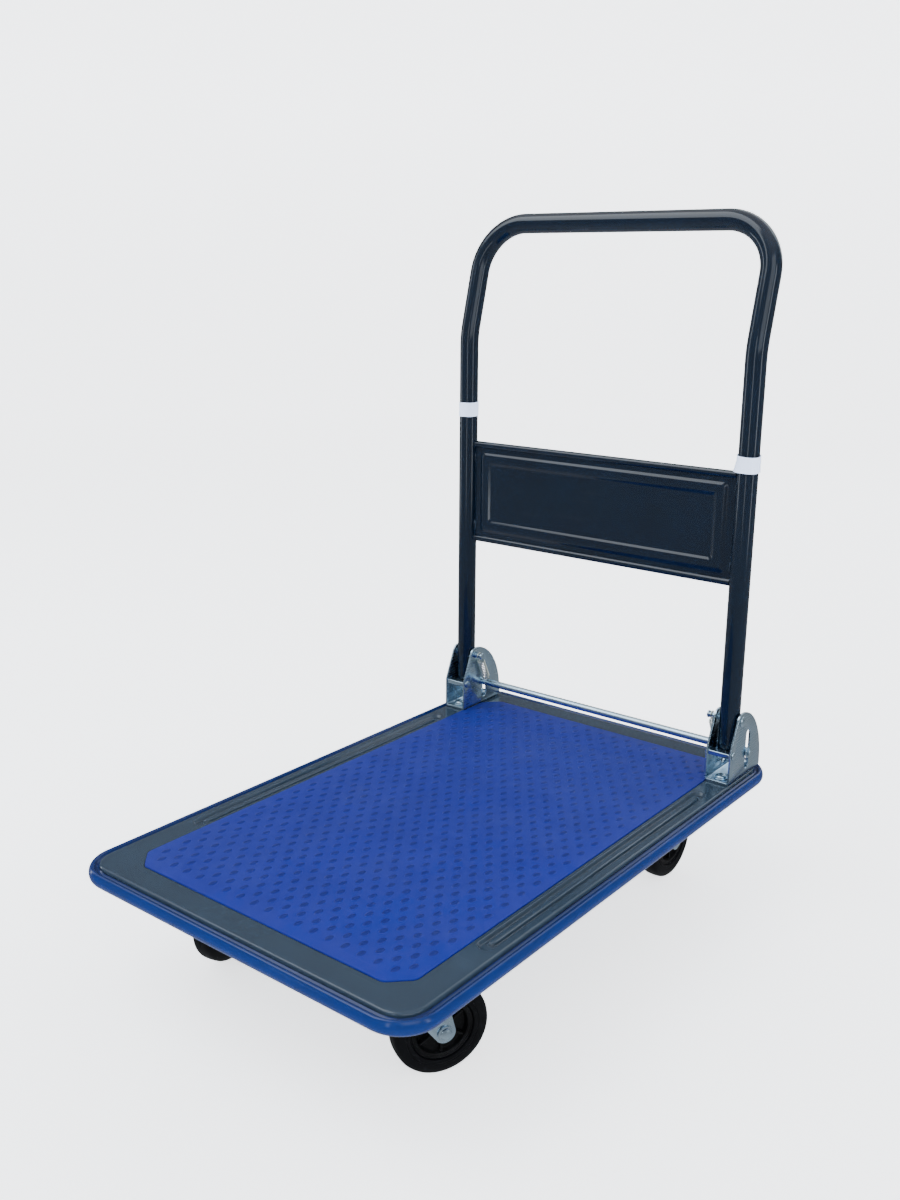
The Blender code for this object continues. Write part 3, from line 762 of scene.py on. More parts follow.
class CART_OT_deck_pan(bpy.types.Operator):
    """Press the deck: flat sheet, rounded brow and skirt, mat well and two long beads"""

    bl_idname = "cart.deck_pan"
    bl_label = "Deck pan"

    def execute(self, context):
        sizes = context.scene.cart_deck
        inset = sizes.brow + FLAT
        half = (PAN_HALF.x - inset, PAN_HALF.y - inset)
        well = (MAT_HALF.x + GAP, MAT_HALF.y + GAP)
        edge = (well[0] + 1.4 * MM, well[1] + 1.4 * MM)
        mouth = (9.9 * MM, 225 * MM)
        top = (0, 0, DECK_TOP)
        beads = [Vector((sign * BEAD_X, 0, DECK_TOP)) for sign in SIDES.values()]
        pan = fill_between(
            "pan",
            flat_outline("sheet", half, sizes.corner - sizes.brow - FLAT, top, 12),
            flat_outline("well", edge, sizes.mat_cut + 0.6 * MM, top, 1, 4.2 * MM),
            *(flat_outline("bead", mouth, 9.4 * MM, place, 8) for place in beads),
        )
        self.skirt(pan, half, sizes.brow)
        self.well(pan, edge, well)
        for place in beads:
            self.bead(pan, place, mouth)
        edit(pan)
        bpy.ops.mesh.normals_make_consistent(inside=False)
        let_go()
        turn_out(pan, lambda face: Vector((0, 0, 1)))
        apply_step(pan, "SOLIDIFY", thickness=sizes.sheet, offset=-1, use_even_offset=False)
        hand_over(pan, "deck", "deck_paint", "deck_pan", angle=28)
        return {"FINISHED"}

    def skirt(self, pan, half, brow):
        edit(pan)
        pick_rim(pan, lambda p: abs(p.x) > 220 * MM or abs(p.y) > 330 * MM or (
            abs(p.x) > 190 * MM and abs(p.y) > 300 * MM and p.xy.length > 370 * MM))
        inner = (half[0] + FLAT, half[1] + FLAT)
        rings = [(*half, DECK_TOP)]
        rings += quarter(inner, brow, (0, 15, 30, 45, 60, 75, 90), DECK_TOP, 1)
        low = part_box("deck_pan")[0].z
        for inset, rise in ((0, 1), (0.4, 0), (4, 0)):
            rings.append((PAN_HALF.x - inset * MM, PAN_HALF.y - inset * MM, low + rise * MM))
        grow_rims(rings, (0, 0, DECK_TOP))

    def well(self, pan, edge, well):
        pick_rim(pan, lambda p: abs(p.x) < 195 * MM and abs(p.z - DECK_TOP) < 0.1 * MM)
        lip = (edge[0] - 0.4 * MM, edge[1] - 0.4 * MM)
        rings = [(*edge, DECK_TOP), *quarter(lip, MM, (0, 30, 60, 90), DECK_TOP, -1)]
        grow_rims([*rings, (*well, DECK_TOP - 2 * MM)], (0, 0, DECK_TOP))
        bpy.ops.mesh.edge_face_add()

    def bead(self, pan, place, mouth):
        """A shallow channel with a long raised rib along its floor."""
        pick_rim(pan, lambda p: abs(p.x - place.x) < 11 * MM and abs(p.z - DECK_TOP) < 0.1 * MM)
        steps = (
            (9.5, 224.6, 0), (9.0, 224.1, 0.1), (8.5, 223.6, 0.5), (7.0, 222.1, 3.0),
            (6.5, 221.6, 3.4), (6.0, 221.1, 3.5), (5.2, 211.6, 3.5), (4.8, 211.0, 3.3),
            (3.7, 209.6, 1.0), (3.1, 209.0, 0.6), (2.4, 208.3, 0.4), (1.6, 207.5, 0.35),
        )
        rings = [(x * MM, y * MM, DECK_TOP - z * MM) for x, y, z in steps]
        grow_rims([(*mouth, DECK_TOP), *rings], place)
        bpy.ops.mesh.edge_face_add()


class CART_OT_deck_mat(bpy.types.Operator):
    """Mould the blue mat with its rows of low oval bumps"""

    bl_idname = "cart.deck_mat"
    bl_label = "Deck mat"

    def execute(self, context):
        sizes = context.scene.cart_deck
        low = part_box("deck_mat")[0].z
        mat = plug("mat", MAT_HALF, sizes.mat_cut, (0, 0, low), MAT_TOP - low, 1, 4.1 * MM)
        trims = []
        for side, sign in SIDES.items():
            near, far = sorted((sign * (LEG_X - BRACKET.x - GAP), sign * (LEG_X + 9 * MM)))
            corner = (near, BRACKET_LOW.y - GAP, DECK_TOP - 6 * MM)
            trims.append(box("trim_" + side, corner, (far, PAN_HALF.y, DECK_TOP + 6 * MM)))
        carve(mat, *trims)
        soften(mat, 0.6, 3, 40)
        mat = join("mat", mat, self.bumps(sizes))
        hand_over(mat, "deck", "blue_pvc", "deck_mat", angle=40)
        return {"FINISHED"}

    def bumps(self, sizes):
        """Low oval domes in staggered rows, kept clear of the mat's edge."""
        let_go()
        bpy.ops.mesh.primitive_circle_add(
            vertices=12, radius=1, fill_type="NGON", location=(0, 0, MAT_TOP - 0.15 * MM)
        )
        bump = named("bumps")
        bump.scale = (sizes.bump_width / 2, sizes.bump_length / 2, 1)
        settle(bump)
        edit(bump)
        rise = sizes.bump_height
        centre = (0, 0, MAT_TOP)
        for share, scale in ((0.45, 0.93), (0.35, 0.82), (0.22, 0.66), (0.13, 0.45)):
            pull((0, 0, rise * share))
            bpy.ops.transform.resize(value=(scale, scale, 1), center_override=centre)
        close_up(bump)
        columns = int(MAT_HALF.x / sizes.bump_across) + 1
        rows = int(MAT_HALF.y / sizes.bump_along) + 1
        spacing = Vector((sizes.bump_across, sizes.bump_along, 0))
        start = Vector((-columns * spacing.x, -rows * spacing.y + 9.6 * MM, 0))
        other = twin(bump, "bumps_between", start + spacing / 2)
        bump.location = start
        settle(bump)
        for piece in (bump, other):
            for count, offset in ((2 * columns + 1, (spacing.x, 0, 0)),
                                  (2 * rows + 1, (0, spacing.y, 0))):
                apply_step(piece, "ARRAY", count=count, use_relative_offset=False,
                           use_constant_offset=True, constant_offset_displace=offset)
        field = join("bumps", bump, other)
        edit(field)
        bpy.ops.mesh.select_mode(type="VERT")
        bpy.ops.mesh.select_all(action="DESELECT")
        mesh = bmesh.from_edit_mesh(field.data)
        edge_x = MAT_HALF.x - 3 * MM
        edge_y = MAT_HALF.y - 3 * MM
        reach = MAT_HALF.x + MAT_HALF.y - sizes.mat_cut - 6 * MM
        notch_x = LEG_X - BRACKET.x - 3 * MM
        notch_y = BRACKET_LOW.y - 4 * MM
        for vert in mesh.verts:
            x, y = abs(vert.co.x), abs(vert.co.y)
            by_bracket = vert.co.y > notch_y and x > notch_x
            vert.select_set(x > edge_x or y > edge_y or x + y > reach or by_bracket)
        bmesh.update_edit_mesh(field.data)
        bpy.ops.mesh.select_linked()
        bpy.ops.mesh.delete(type="VERT")
        let_go()
        return field


class CART_OT_edge_bumper(bpy.types.Operator):
    """Run the bumper's lipped section round the deck"""

    bl_idname = "cart.edge_bumper"
    bl_label = "Edge bumper"

    def execute(self, context):
        corner = context.scene.cart_deck.corner
        section = (
            (0.3, 4.4), (2.2, 5.3), (4.1, 5.5), (5.6, 4.2), (6.9, 2.4), (8.5, 1.5), (10.2, 2.1),
            (11.7, 4.2), (12.6, 7.0), (12.8, 9.8), (12.2, 12.9), (10.6, 15.9), (8.0, 18.2),
            (4.6, 19.1), (0.3, 19.2), (0.3, 12.0),
        )
        smooth = smooth_line(section, 3)
        inner = Vector((PAN_HALF.x - corner, PAN_HALF.y - corner))
        points = [
            Vector((PAN_HALF.x + max(out * MM, GAP), 0, DECK_TOP - drop * MM))
            for out, drop in smooth
        ]
        bumper = line("bumper", points, close=True)
        runs = (
            ((0, inner.y, 0), (inner.x, inner.y)),
            ((-2 * inner.x, 0, 0), (-inner.x, inner.y)),
            ((0, -2 * inner.y, 0), (-inner.x, -inner.y)),
            ((2 * inner.x, 0, 0), (inner.x, -inner.y)),
        )
        for step, centre in runs:
            pull(step)
            bpy.ops.mesh.spin(steps=14, angle=-math.pi / 2, center=(*centre, 0), axis=(0, 0, 1))
        pull((0, inner.y, 0))
        close_up(bumper)
        hand_over(bumper, "deck", "bumper_pvc", "edge_bumper", angle=45)
        return {"FINISHED"}


class CART_OT_channels(bpy.types.Operator):
    """Fold the four stiffening channels under the deck"""

    bl_idname = "cart.channels"
    bl_label = "Channels"

    def execute(self, context):
        for name in [f"cross_channel_{end}" for end in ENDS] + [
            f"long_channel_{side}" for side in SIDES
        ]:
            self.fold(name)
        return {"FINISHED"}

    def fold(self, name):
        """A tray open upwards, with rounded bends and pressed oval holes in its web."""
        low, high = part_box(name)
        sheet = 2 * MM
        along = 0 if high.x - low.x > high.y - low.y else 1
        across = 1 - along
        piece = box("web_" + name, low, high)
        round_folds(piece, low.z, 3.2 * MM, across)
        inside_low, inside_high = low.copy(), high.copy()
        inside_low[along] -= 5 * MM
        inside_high[along] += 5 * MM
        inside_low[across] += sheet
        inside_high[across] -= sheet
        inside_low.z += sheet
        inside_high.z += 5 * MM
        tools = [box("space", inside_low, inside_high)]
        reach = (high[along] - low[along]) / 2
        half = (9 * MM, 20 * MM) if along else (26 * MM, 9 * MM)
        for spot in (-0.62, 0.0, 0.62) if along else (0.0,):
            place = (low + high) / 2
            place[along] += spot * reach
            place.z = low.z - 3 * MM
            tools.append(plug("hole", half, 8.9 * MM, place, 8 * MM, 8))
        carve(piece, *tools)
        soften(piece, 0.4, 2, 50)
        hand_over(piece, "deck", "deck_paint", name)


# ---------------------------------------------------------------- handle

class CART_OT_handle(bpy.types.Operator):
    """Bend the handle from one tube: two legs, two kinks and two corners"""

    bl_idname = "cart.handle"
    bl_label = "Handle tube"

    def execute(self, context):
        sizes = context.scene.cart_handle
        lean, kink, corner = sizes.lean, sizes.kink_radius, sizes.corner_radius
        kink_start = DECK_TOP + sizes.kink_height - kink * math.tan(lean / 2)
        straight = sizes.lean_length - kink * math.tan(lean / 2) - corner
        up = Vector((0, math.sin(lean), math.cos(lean)))
        across = Vector((0, math.cos(lean), -math.sin(lean)))
        let_go()
        bpy.ops.mesh.primitive_circle_add(
            vertices=40, radius=sizes.tube_radius, location=(-LEG_X, PIVOT.y, TUBE_FOOT)
        )
        tube = settle(named("handle"))
        edit(tube)
        rise = kink_start - TUBE_FOOT
        pull((0, 0, rise))
        centre = Vector((-LEG_X, PIVOT.y + kink, kink_start))
        bpy.ops.mesh.spin(steps=10, angle=lean, center=centre, axis=(1, 0, 0))
        pull(up * straight)
        place = centre - kink * across + up * straight
        centre = place + Vector((corner, 0, 0))
        bpy.ops.mesh.spin(steps=16, angle=-math.pi / 2, center=centre, axis=across)
        wide = 2 * (LEG_X - corner)
        pull((wide, 0, 0))
        centre += Vector((wide, 0, 0))
        bpy.ops.mesh.spin(steps=16, angle=-math.pi / 2, center=centre, axis=across)
        pull(-up * straight)
        centre = Vector((LEG_X, PIVOT.y + kink, kink_start))
        bpy.ops.mesh.spin(steps=10, angle=-lean, center=centre, axis=(1, 0, 0))
        pull((0, 0, -rise))
        close_up(tube)
        foot = min(v.co.z for v in tube.data.vertices)
        spread = max(v.co.x for v in tube.data.vertices)
        if abs(foot - TUBE_FOOT) > MM or abs(spread - LEG_X - sizes.tube_radius) > MM:
            raise RuntimeError(f"the handle's bends went astray: foot {foot}, side {spread}")
        apply_step(tube, "SOLIDIFY", thickness=sizes.tube_wall, offset=-1)
        hand_over(tube, "handle", "handle_paint", "handle_tube", angle=50)
        return {"FINISHED"}


class CART_OT_panel(bpy.types.Operator):
    """Press the back panel with its stepped frame, rolled edges and weld beads"""

    bl_idname = "cart.panel"
    bl_label = "Back panel"

    def execute(self, context):
        sizes = context.scene.cart_handle
        low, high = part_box("back_panel")
        roll = sizes.roll_radius
        half = ((high.x - low.x) / 2, (high.z - low.z) / 2 - roll)
        centre = Vector((0, PIVOT.y, (low.z + high.z) / 2))
        pieces = [self.face(half, centre, sizes.panel_sheet)]
        for sign in (1, -1):
            pieces.append(self.roll(half[0], centre.z + sign * half[1], roll, sign))
        for side in SIDES.values():
            for rise in (-0.72, 0.72):
                spot = Vector((side * half[0], PIVOT.y, centre.z + rise * half[1]))
                pieces.append(self.weld(spot))
        panel = join("panel", *pieces)
        hand_over(panel, "handle", "handle_paint", "back_panel", angle=28)
        return {"FINISHED"}

    def face(self, half, centre, sheet):
        """Nested steps: each ring is (inset, forward) in mm."""
        steps = (
            (9.5, 0), (10.3, 0.12), (11.2, 0.5), (13.6, 2.0), (14.5, 2.38), (15.3, 2.5),
            (22.6, 2.5), (23.4, 2.38), (24.2, 2.05), (26.6, 0.5), (27.5, 0.12), (28.3, 0),
            (29.0, 0),
        )
        rings = [(half[0] - out * MM, half[1] - out * MM, up * MM) for out, up in steps]
        inner = rings[0]
        rim = flat_outline("panel", half, 0.6 * MM, (0, 0, 0), 2)
        opening = flat_outline("opening", inner, 5 * MM, (0, 0, 0), 6)
        piece = fill_between("panel", rim, opening)
        pick_rim(piece, lambda p: abs(p.x) < inner[0] + MM and abs(p.y) < inner[1] + MM)
        grow_rims(rings, (0, 0, 0))
        bpy.ops.mesh.edge_face_add()
        bpy.ops.mesh.select_all(action="SELECT")
        bpy.ops.mesh.normals_make_consistent(inside=False)
        let_go()
        piece.rotation_euler = (math.pi / 2, 0, 0)
        piece.location = centre
        settle(piece)
        turn_out(piece, lambda face: Vector((0, -1, 0)))
        return apply_step(piece, "SOLIDIFY", thickness=sheet, offset=0)

    def roll(self, reach, height, radius, sign):
        """A hollow rolled edge: the sheet curls back into a tube with a narrow seam."""
        thick = 1.1 * MM
        middle_radius = radius - thick / 2
        start = -90 * sign
        turns = arc((PIVOT.y, height), middle_radius, start, start + 340 * sign, 24)
        piece = line("roll", at_x(turns, -reach))
        pull((2 * reach, 0, 0))
        close_up(piece)
        return apply_step(piece, "SOLIDIFY", thickness=thick, offset=0)

    def weld(self, place):
        """A small run of weld where the panel meets the leg."""
        let_go()
        bpy.ops.mesh.primitive_ico_sphere_add(subdivisions=3, radius=1, location=place)
        piece = named("weld")
        piece.scale = (1.9 * MM, 2.2 * MM, 7 * MM)
        settle(piece)
        edit(piece)
        mesh = bmesh.from_edit_mesh(piece.data)
        for vert in mesh.verts:
            vert.co.y += 0.35 * MM * math.sin((vert.co.z - place.z) * 1900)
        bmesh.update_edit_mesh(piece.data)
        let_go()
        return piece


class CART_OT_tapes(bpy.types.Operator):
    """Wrap a band of white tape round each leg, the right one loose at its lower edge"""

    bl_idname = "cart.tapes"
    bl_label = "Tape bands"

    def execute(self, context):
        for side, sign in SIDES.items():
            low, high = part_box("tape_band_" + side)
            loose = 1.0 if side == "right" else 0.0
            self.wrap(side, Vector((sign * LEG_X, PIVOT.y, low.z)), high.z - low.z, loose)
        return {"FINISHED"}

    def wrap(self, side, place, height, loose):
        inner = bpy.context.scene.cart_handle.tube_radius + 0.35 * MM
        rows, turns = 8, 52
        let_go()
        first = [place + Vector((inner, 0, height * i / rows)) for i in range(rows + 1)]
        band = line("tape_" + side, first)
        bpy.ops.mesh.spin(steps=turns, angle=-math.radians(396), center=place, axis=(0, 0, 1))
        edit(band)
        bpy.ops.mesh.normals_make_consistent(inside=False)
        mesh = bmesh.from_edit_mesh(band.data)
        mesh.verts.ensure_lookup_table()
        # Spin leaves the rows in order round the leg, so a point's wrap follows its number.
        for vert in mesh.verts:
            step = vert.index // (rows + 1)
            wrap = step / turns
            flat = Vector((vert.co.x - place.x, vert.co.y - place.y))
            rise = (vert.co.z - place.z) / height
            angle = math.atan2(flat.y, flat.x)
            lift = 0.45 * MM * wrap + 0.12 * MM * math.sin(5 * angle + 9 * rise)
            flare = loose * (1 - rise) ** 2
            lift += flare * (1.9 * MM + 1.5 * MM * math.cos(angle - math.radians(200)))
            lift += loose * 0.5 * MM
            scale = (inner + lift) / flat.length
            tilt = 0.5 * MM * math.sin(angle + 0.8) + loose * 1.2 * MM * math.cos(angle - 2.4)
            vert.co.x = place.x + flat.x * scale
            vert.co.y = place.y + flat.y * scale
            vert.co.z += tilt + 0.35 * MM * math.sin(3 * angle) * wrap
        bmesh.update_edit_mesh(band.data)
        let_go()
        turn_out(band, lambda face: face.center - place)
        apply_step(band, "SOLIDIFY", thickness=0.22 * MM, offset=1)
        hand_over(band, "handle", "white_tape", "tape_band_" + side, angle=60)


# ---------------------------------------------------------------- hinge brackets

def fin_outline():
    """Side of a bracket as (y, z): upright front, round top over the pivot, long curved back."""
    foot = BRACKET_LOW.z
    front = BRACKET_LOW.y
    back = BRACKET_HIGH.y
    top_radius = BRACKET_HIGH.z - PIVOT.z
    points = [(front, foot), (front, DECK_TOP + 42 * MM)]
    points += arc((PIVOT.y, PIVOT.z), top_radius, 160, 98, 8)
    drop = DECK_TOP + 8 * MM
    for i in range(21):
        turn = math.radians(90 * (1 - i / 20))
        y = PIVOT.y + (back - PIVOT.y) * math.cos(turn)
        points.append((y, drop + (BRACKET_HIGH.z - drop) * math.sin(turn)))
    points.append((back, foot))
    return points


def slot_outline():
    """Slot for the rod as (y, z), longer above the rod's rest than below it."""
    radius = 5.5 * MM
    high, low = ROD.z + 24 * MM, ROD.z - 17.7 * MM
    return arc((ROD.y, high), radius, 0, 180, 14) + arc((ROD.y, low), radius, 180, 360, 14)


class CART_OT_brackets(bpy.types.Operator):
    """Fold the two zinc hinge brackets, each with two cheeks, a slot and rivet holes"""

    bl_idname = "cart.brackets"
    bl_label = "Hinge brackets"

    def execute(self, context):
        cheek, base = 2.5 * MM, 3 * MM
        wide = BRACKET.x
        piece = slab("bracket", at_x(fin_outline(), -wide), Vector((2 * wide, 0, 0)))
        round_folds(piece, BRACKET_LOW.z, 3.6 * MM)
        space_low = (-wide + cheek, BRACKET_LOW.y - 6 * MM, BRACKET_LOW.z + base)
        space_high = (wide - cheek, BRACKET_HIGH.y + 6 * MM, BRACKET_HIGH.z + 6 * MM)
        space = box("space", space_low, space_high)
        round_folds(space, space_low[2], 1.6 * MM)
        through = wide + 5 * MM
        slot = slab("slot", at_x(slot_outline(), -through), Vector((2 * through, 0, 0)))
        bar = middle("stop_bar_right")
        pivot_hole = pin_tool("pivot_hole", (0, PIVOT.y, PIVOT.z), 4.4, 30)
        bar_hole = pin_tool("bar_hole", (0, bar.y, bar.z), 3.4, 30)
        bolts = []
        for end in ENDS:
            spot = middle("bracket_bolt_right_" + end)
            bolts.append(pin_tool("bolt_" + end, (0, spot.y, DECK_TOP), 4.6, 20, "Z"))
        carve(piece, space, slot, pivot_hole, bar_hole, *bolts)
        soften(piece, 0.45, 3, 50)
        for side, sign in SIDES.items():
            made = twin(piece, "bracket_" + side, (sign * LEG_X, 0, 0))
            hand_over(made, "deck", "zinc", "hinge_bracket_" + side)
        bpy.data.objects.remove(piece)
        return {"FINISHED"}


class CART_OT_bracket_hardware(bpy.types.Operator):
    """Make the stop bars, pivot rivets and base bolts of the brackets"""

    bl_idname = "cart.bracket_hardware"
    bl_label = "Bracket hardware"

    def execute(self, context):
        outside = BRACKET.x + GAP
        for side, sign in SIDES.items():
            low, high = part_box("stop_bar_" + side)
            centre = (low + high) / 2
            reach = BRACKET.x - 2.8 * MM
            bar = box("stop_" + side, (centre.x - reach, low.y, centre.z - 3 * MM),
                      (centre.x + reach, high.y, centre.z + 3 * MM))
            soften(bar, 0.9, 4, 50)
            ends = []
            for way in (-1, 1):
                head = [
                    (-4, 0), (-4, 3.2), (0, 3.2), (0, 5.0),
                    (0.5, 4.95), (1.1, 4.5), (1.5, 3.4), (1.7, 0),
                ]
                profile = [(way * (outside / MM + a), r) for a, r in head]
                ends.append(turned("rivet", profile, (centre.x, centre.y, centre.z), "X", 28))
            bar = join("stop_" + side, bar, *ends)
            hand_over(bar, "deck", "zinc", "stop_bar_" + side)
            out = outside / MM
            shape = [
                (out + 2.6, 0), (out + 2.5, 2.4), (out + 2.1, 4.2), (out + 1.3, 5.7),
                (out + 0.4, 6.4), (out, 6.4), (out, 4), (-out - 3, 4), (-out - 3.4, 3),
                (-out - 9.6, 3), (-out - 9.8, 4.2), (-out - 10.3, 4.6), (-out - 11.6, 4.6),
                (-out - 12.1, 4.1), (-out - 12.1, 0),
            ]
            profile = [(sign * a, r) for a, r in shape]
            pin = turned("pivot_" + side, profile, (sign * LEG_X, PIVOT.y, PIVOT.z), "X", 32)
            hand_over(pin, "deck", "zinc", "pivot_pin_" + side)
            for end in ENDS:
                name = "bracket_bolt_" + side + "_" + end
                self.bolt(side + "_" + end, middle(name), name)
        return {"FINISHED"}

    def bolt(self, tag, spot, node):
        """A domed bolt with a cross recess and a washer, and its nut under the deck."""
        seat = (BRACKET_LOW.z + 3.3 * MM) / MM
        low = (DECK_TOP - 14 * MM) / MM
        place = (spot.x, spot.y, 0)
        head = turned("head", [
            (low, 0), (low, 3.6), (low + 0.5, 4), (seat + 1.2, 4), (seat + 1.3, 6.9),
            (seat + 1.9, 6.9), (seat + 2.9, 6.6), (seat + 3.9, 5.6), (seat + 4.6, 4.0),
            (seat + 4.9, 2.0), (seat + 5, 0),
        ], place, "Z", 32)
        top = (seat + 6) * MM
        arms = []
        for wide, deep in ((3.3, 0.8), (0.8, 3.3)):
            corner = Vector((spot.x, spot.y, top))
            low_reach = Vector((wide * MM, deep * MM, 3.6 * MM))
            arms.append(box("arm", corner - low_reach, corner + Vector((*low_reach.xy, MM))))
        carve(head, *arms)
        washer = turned("washer", [
            (seat, 4.3), (seat, 8.3), (seat + 0.3, 8.5), (seat + 0.9, 8.5), (seat + 1.2, 8.3),
            (seat + 1.2, 4.3),
        ], place, "Z", 36, loop=True)
        below = Vector((spot.x, spot.y, DECK_TOP - 1.9 * MM - 6.2 * MM))
        nut = hexagon("nut", below, 7.5, 6.2, 4.1)
        whole = join("bolt_" + tag, head, washer, nut)
        hand_over(whole, "deck", "zinc", node)


def hexagon(name, place, radius, height, bore, axis="Z"):
    """A hexagon nut with chamfered corners, its bore open; mm."""
    let_go()
    nut = turned(name, [
        (0, bore), (0, radius * 0.88), (0.5, radius), (height - 0.5, radius),
        (height, radius * 0.88), (height, bore),
    ], (0, 0, 0), "Z", 48, loop=True)
    bpy.ops.mesh.primitive_cylinder_add(
        vertices=6, radius=radius * MM, depth=(height + 2) * MM, location=(0, 0, height * MM / 2)
    )
    hexagonal = settle(named("hexagonal"))
    carve(nut, hexagonal, operation="INTERSECT")
    if axis == "X":
        nut.rotation_euler = (0, math.pi / 2, 0)
    nut.location = place
    return settle(nut)


# ---------------------------------------------------------------- foot release

class CART_OT_release_rod(bpy.types.Operator):
    """Turn the foot release rod with its grooved ends and washers"""

    bl_idname = "cart.release_rod"
    bl_label = "Release rod"

    def execute(self, context):
        half = half_size("release_rod").x / MM
        ends = [(-half, 0), (-half, 3.6), (-half + 0.9, 4.9), (-half + 1.4, 5.0)]
        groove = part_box("rod_washer_right")[1].x / MM + 0.6
        ends += [
            (-groove - 1.5, 5.0), (-groove - 1.4, 4.3), (-groove - 0.5, 4.3), (-groove - 0.4, 5.0),
        ]
        profile = ends + [(-a, r) for a, r in reversed(ends)]
        rod = turned("rod", profile, (0, ROD.y, ROD.z), "X", 36)
        hand_over(rod, "release_rod", "zinc", "release_rod")
        for side, sign in SIDES.items():
            low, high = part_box("rod_washer_" + side)
            thick = (high.x - low.x) / MM
            shape = [(0, 5.15), (0, 7.6), (0.3, 8), (thick - 0.4, 8), (thick, 7.4), (thick, 5.15)]
            profile = [(sign * (min(abs(low.x), abs(high.x)) / MM + a), r) for a, r in shape]
            washer = turned("washer_" + side, profile, (0, ROD.y, ROD.z), "X", 40, loop=True)
            hand_over(washer, "release_rod", "zinc", "rod_washer_" + side)
        return {"FINISHED"}


class CART_OT_springs(bpy.types.Operator):
    """Wind the two return springs between the pivot rivets and the rod"""

    bl_idname = "cart.springs"
    bl_label = "Return springs"

    def execute(self, context):
        sizes = context.scene.cart_running
        for side, sign in SIDES.items():
            x = middle("return_spring_" + side).x
            top = Vector((x, PIVOT.y, PIVOT.z))
            low = Vector((x, ROD.y, ROD.z))
            path = self.route(top, low, sign, sizes.spring_turns)
            spring = wire("spring_" + side, path, sizes.spring_wire)
            hand_over(spring, None, "zinc", "return_spring_" + side, 60, "spring_steel")
            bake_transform(spring)
        return {"FINISHED"}

    def route(self, top, low, sign, turns):
        """Hook round the rivet, close coils, hook round the rod."""
        down = (low - top).normalized()
        side_way = Vector((sign, 0, 0))
        third = down.cross(side_way)
        length = (low - top).length
        coil = 5 * MM
        path = []
        for i in range(15):
            turn = math.radians(250 * i / 14 - 70)
            path.append(top + 4.4 * MM * (math.sin(turn) * third - math.cos(turn) * down))
        start, end = 8.2 * MM, length - 9.8 * MM
        steps = turns * 16
        for i in range(steps + 1):
            turn = math.tau * i / 16
            ease = min(1, i / 5, (steps - i) / 5)
            ring = math.cos(turn) * third + math.sin(turn) * side_way
            fallen = start + (end - start) * i / steps
            path.append(top + down * fallen + coil * max(ease, 0.5) * ring)
        for i in range(17):
            turn = math.radians(280 * i / 16 + 15)
            path.append(low + 6.2 * MM * (math.sin(turn) * third - math.cos(turn) * down))
        return path


# ---------------------------------------------------------------- casters

def body_of(node):
    return frame["nodes"][node]["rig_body"]


def wheel_place(end, side):
    """Centre of a wheel and the turn of its axle about Z."""
    axis = JOINTS["roll_" + end + "_" + side]["axis"]
    return middle("tyre_" + end + "_" + side), math.atan2(axis[1], axis[0])


def set_at_wheels(*rows):
    """Copies patterns to the four wheels; a row is (pattern, shown name, slot, node)."""
    for end in ENDS:
        for side in SIDES:
            tag = end + "_" + side
            for pattern, shown, slot, node in rows:
                made = twin(pattern, shown + tag, *wheel_place(end, side))
                hand_over(made, body_of(node + tag), slot, node + tag)
    for pattern, *_ in rows:
        bpy.data.objects.remove(pattern)


class CART_OT_wheels(bpy.types.Operator):
    """Turn the rubber tyres and the plastic hubs with their ribs"""

    bl_idname = "cart.wheels"
    bl_label = "Wheels"

    def execute(self, context):
        steps = context.scene.cart_running.wheel_steps
        tyre_half = [
            (10.6, 33.0), (11.7, 33.6), (12.0, 34.6), (12.0, 37.2), (11.6, 37.7), (11.6, 38.5),
            (12.0, 39.0), (12.0, 42.5), (11.6, 45.0), (10.7, 47.2), (9.2, 48.7), (7.2, 49.5),
            (4.4, 49.8), (0.6, 49.85), (0.4, 50.0), (0, 50.0),
        ]
        outline = tyre_half + [(-a, r) for a, r in reversed(tyre_half[:-1])]
        tyre = turned("tyre", outline, (0, 0, 0), "X", steps, loop=True)
        hub_half = [
            (14.2, 5.5), (14.2, 9.2), (13.7, 10.0), (5.0, 11.6), (4.2, 12.6), (4.0, 13.6),
            (4.0, 24.6), (4.4, 25.8), (5.4, 26.6), (9.4, 27.6), (10.0, 28.4), (10.0, 29.4),
            (9.5, 30.0), (9.5, 31.2), (10.0, 31.8), (10.0, 32.3), (9.6, 32.7),
        ]
        outline = hub_half + [(-a, r) for a, r in reversed(hub_half)]
        hub = turned("hub", outline, (0, 0, 0), "X", steps, loop=True)
        ribs = []
        for i in range(6):
            rib = box("rib", (-8.2 * MM, -1.1 * MM, 10.6 * MM), (8.2 * MM, 1.1 * MM, 26.8 * MM))
            rib.rotation_euler = (math.tau * i / 6, 0, 0)
            settle(rib)
            soften(rib, 0.5, 2, 50)
            ribs.append(rib)
        hub = join("hub", hub, *ribs)
        set_at_wheels(
            (tyre, "wheel_tyre_", "tyre_rubber", "tyre_"),
            (hub, "wheel_hub_", "hub_plastic", "hub_"),
        )
        return {"FINISHED"}


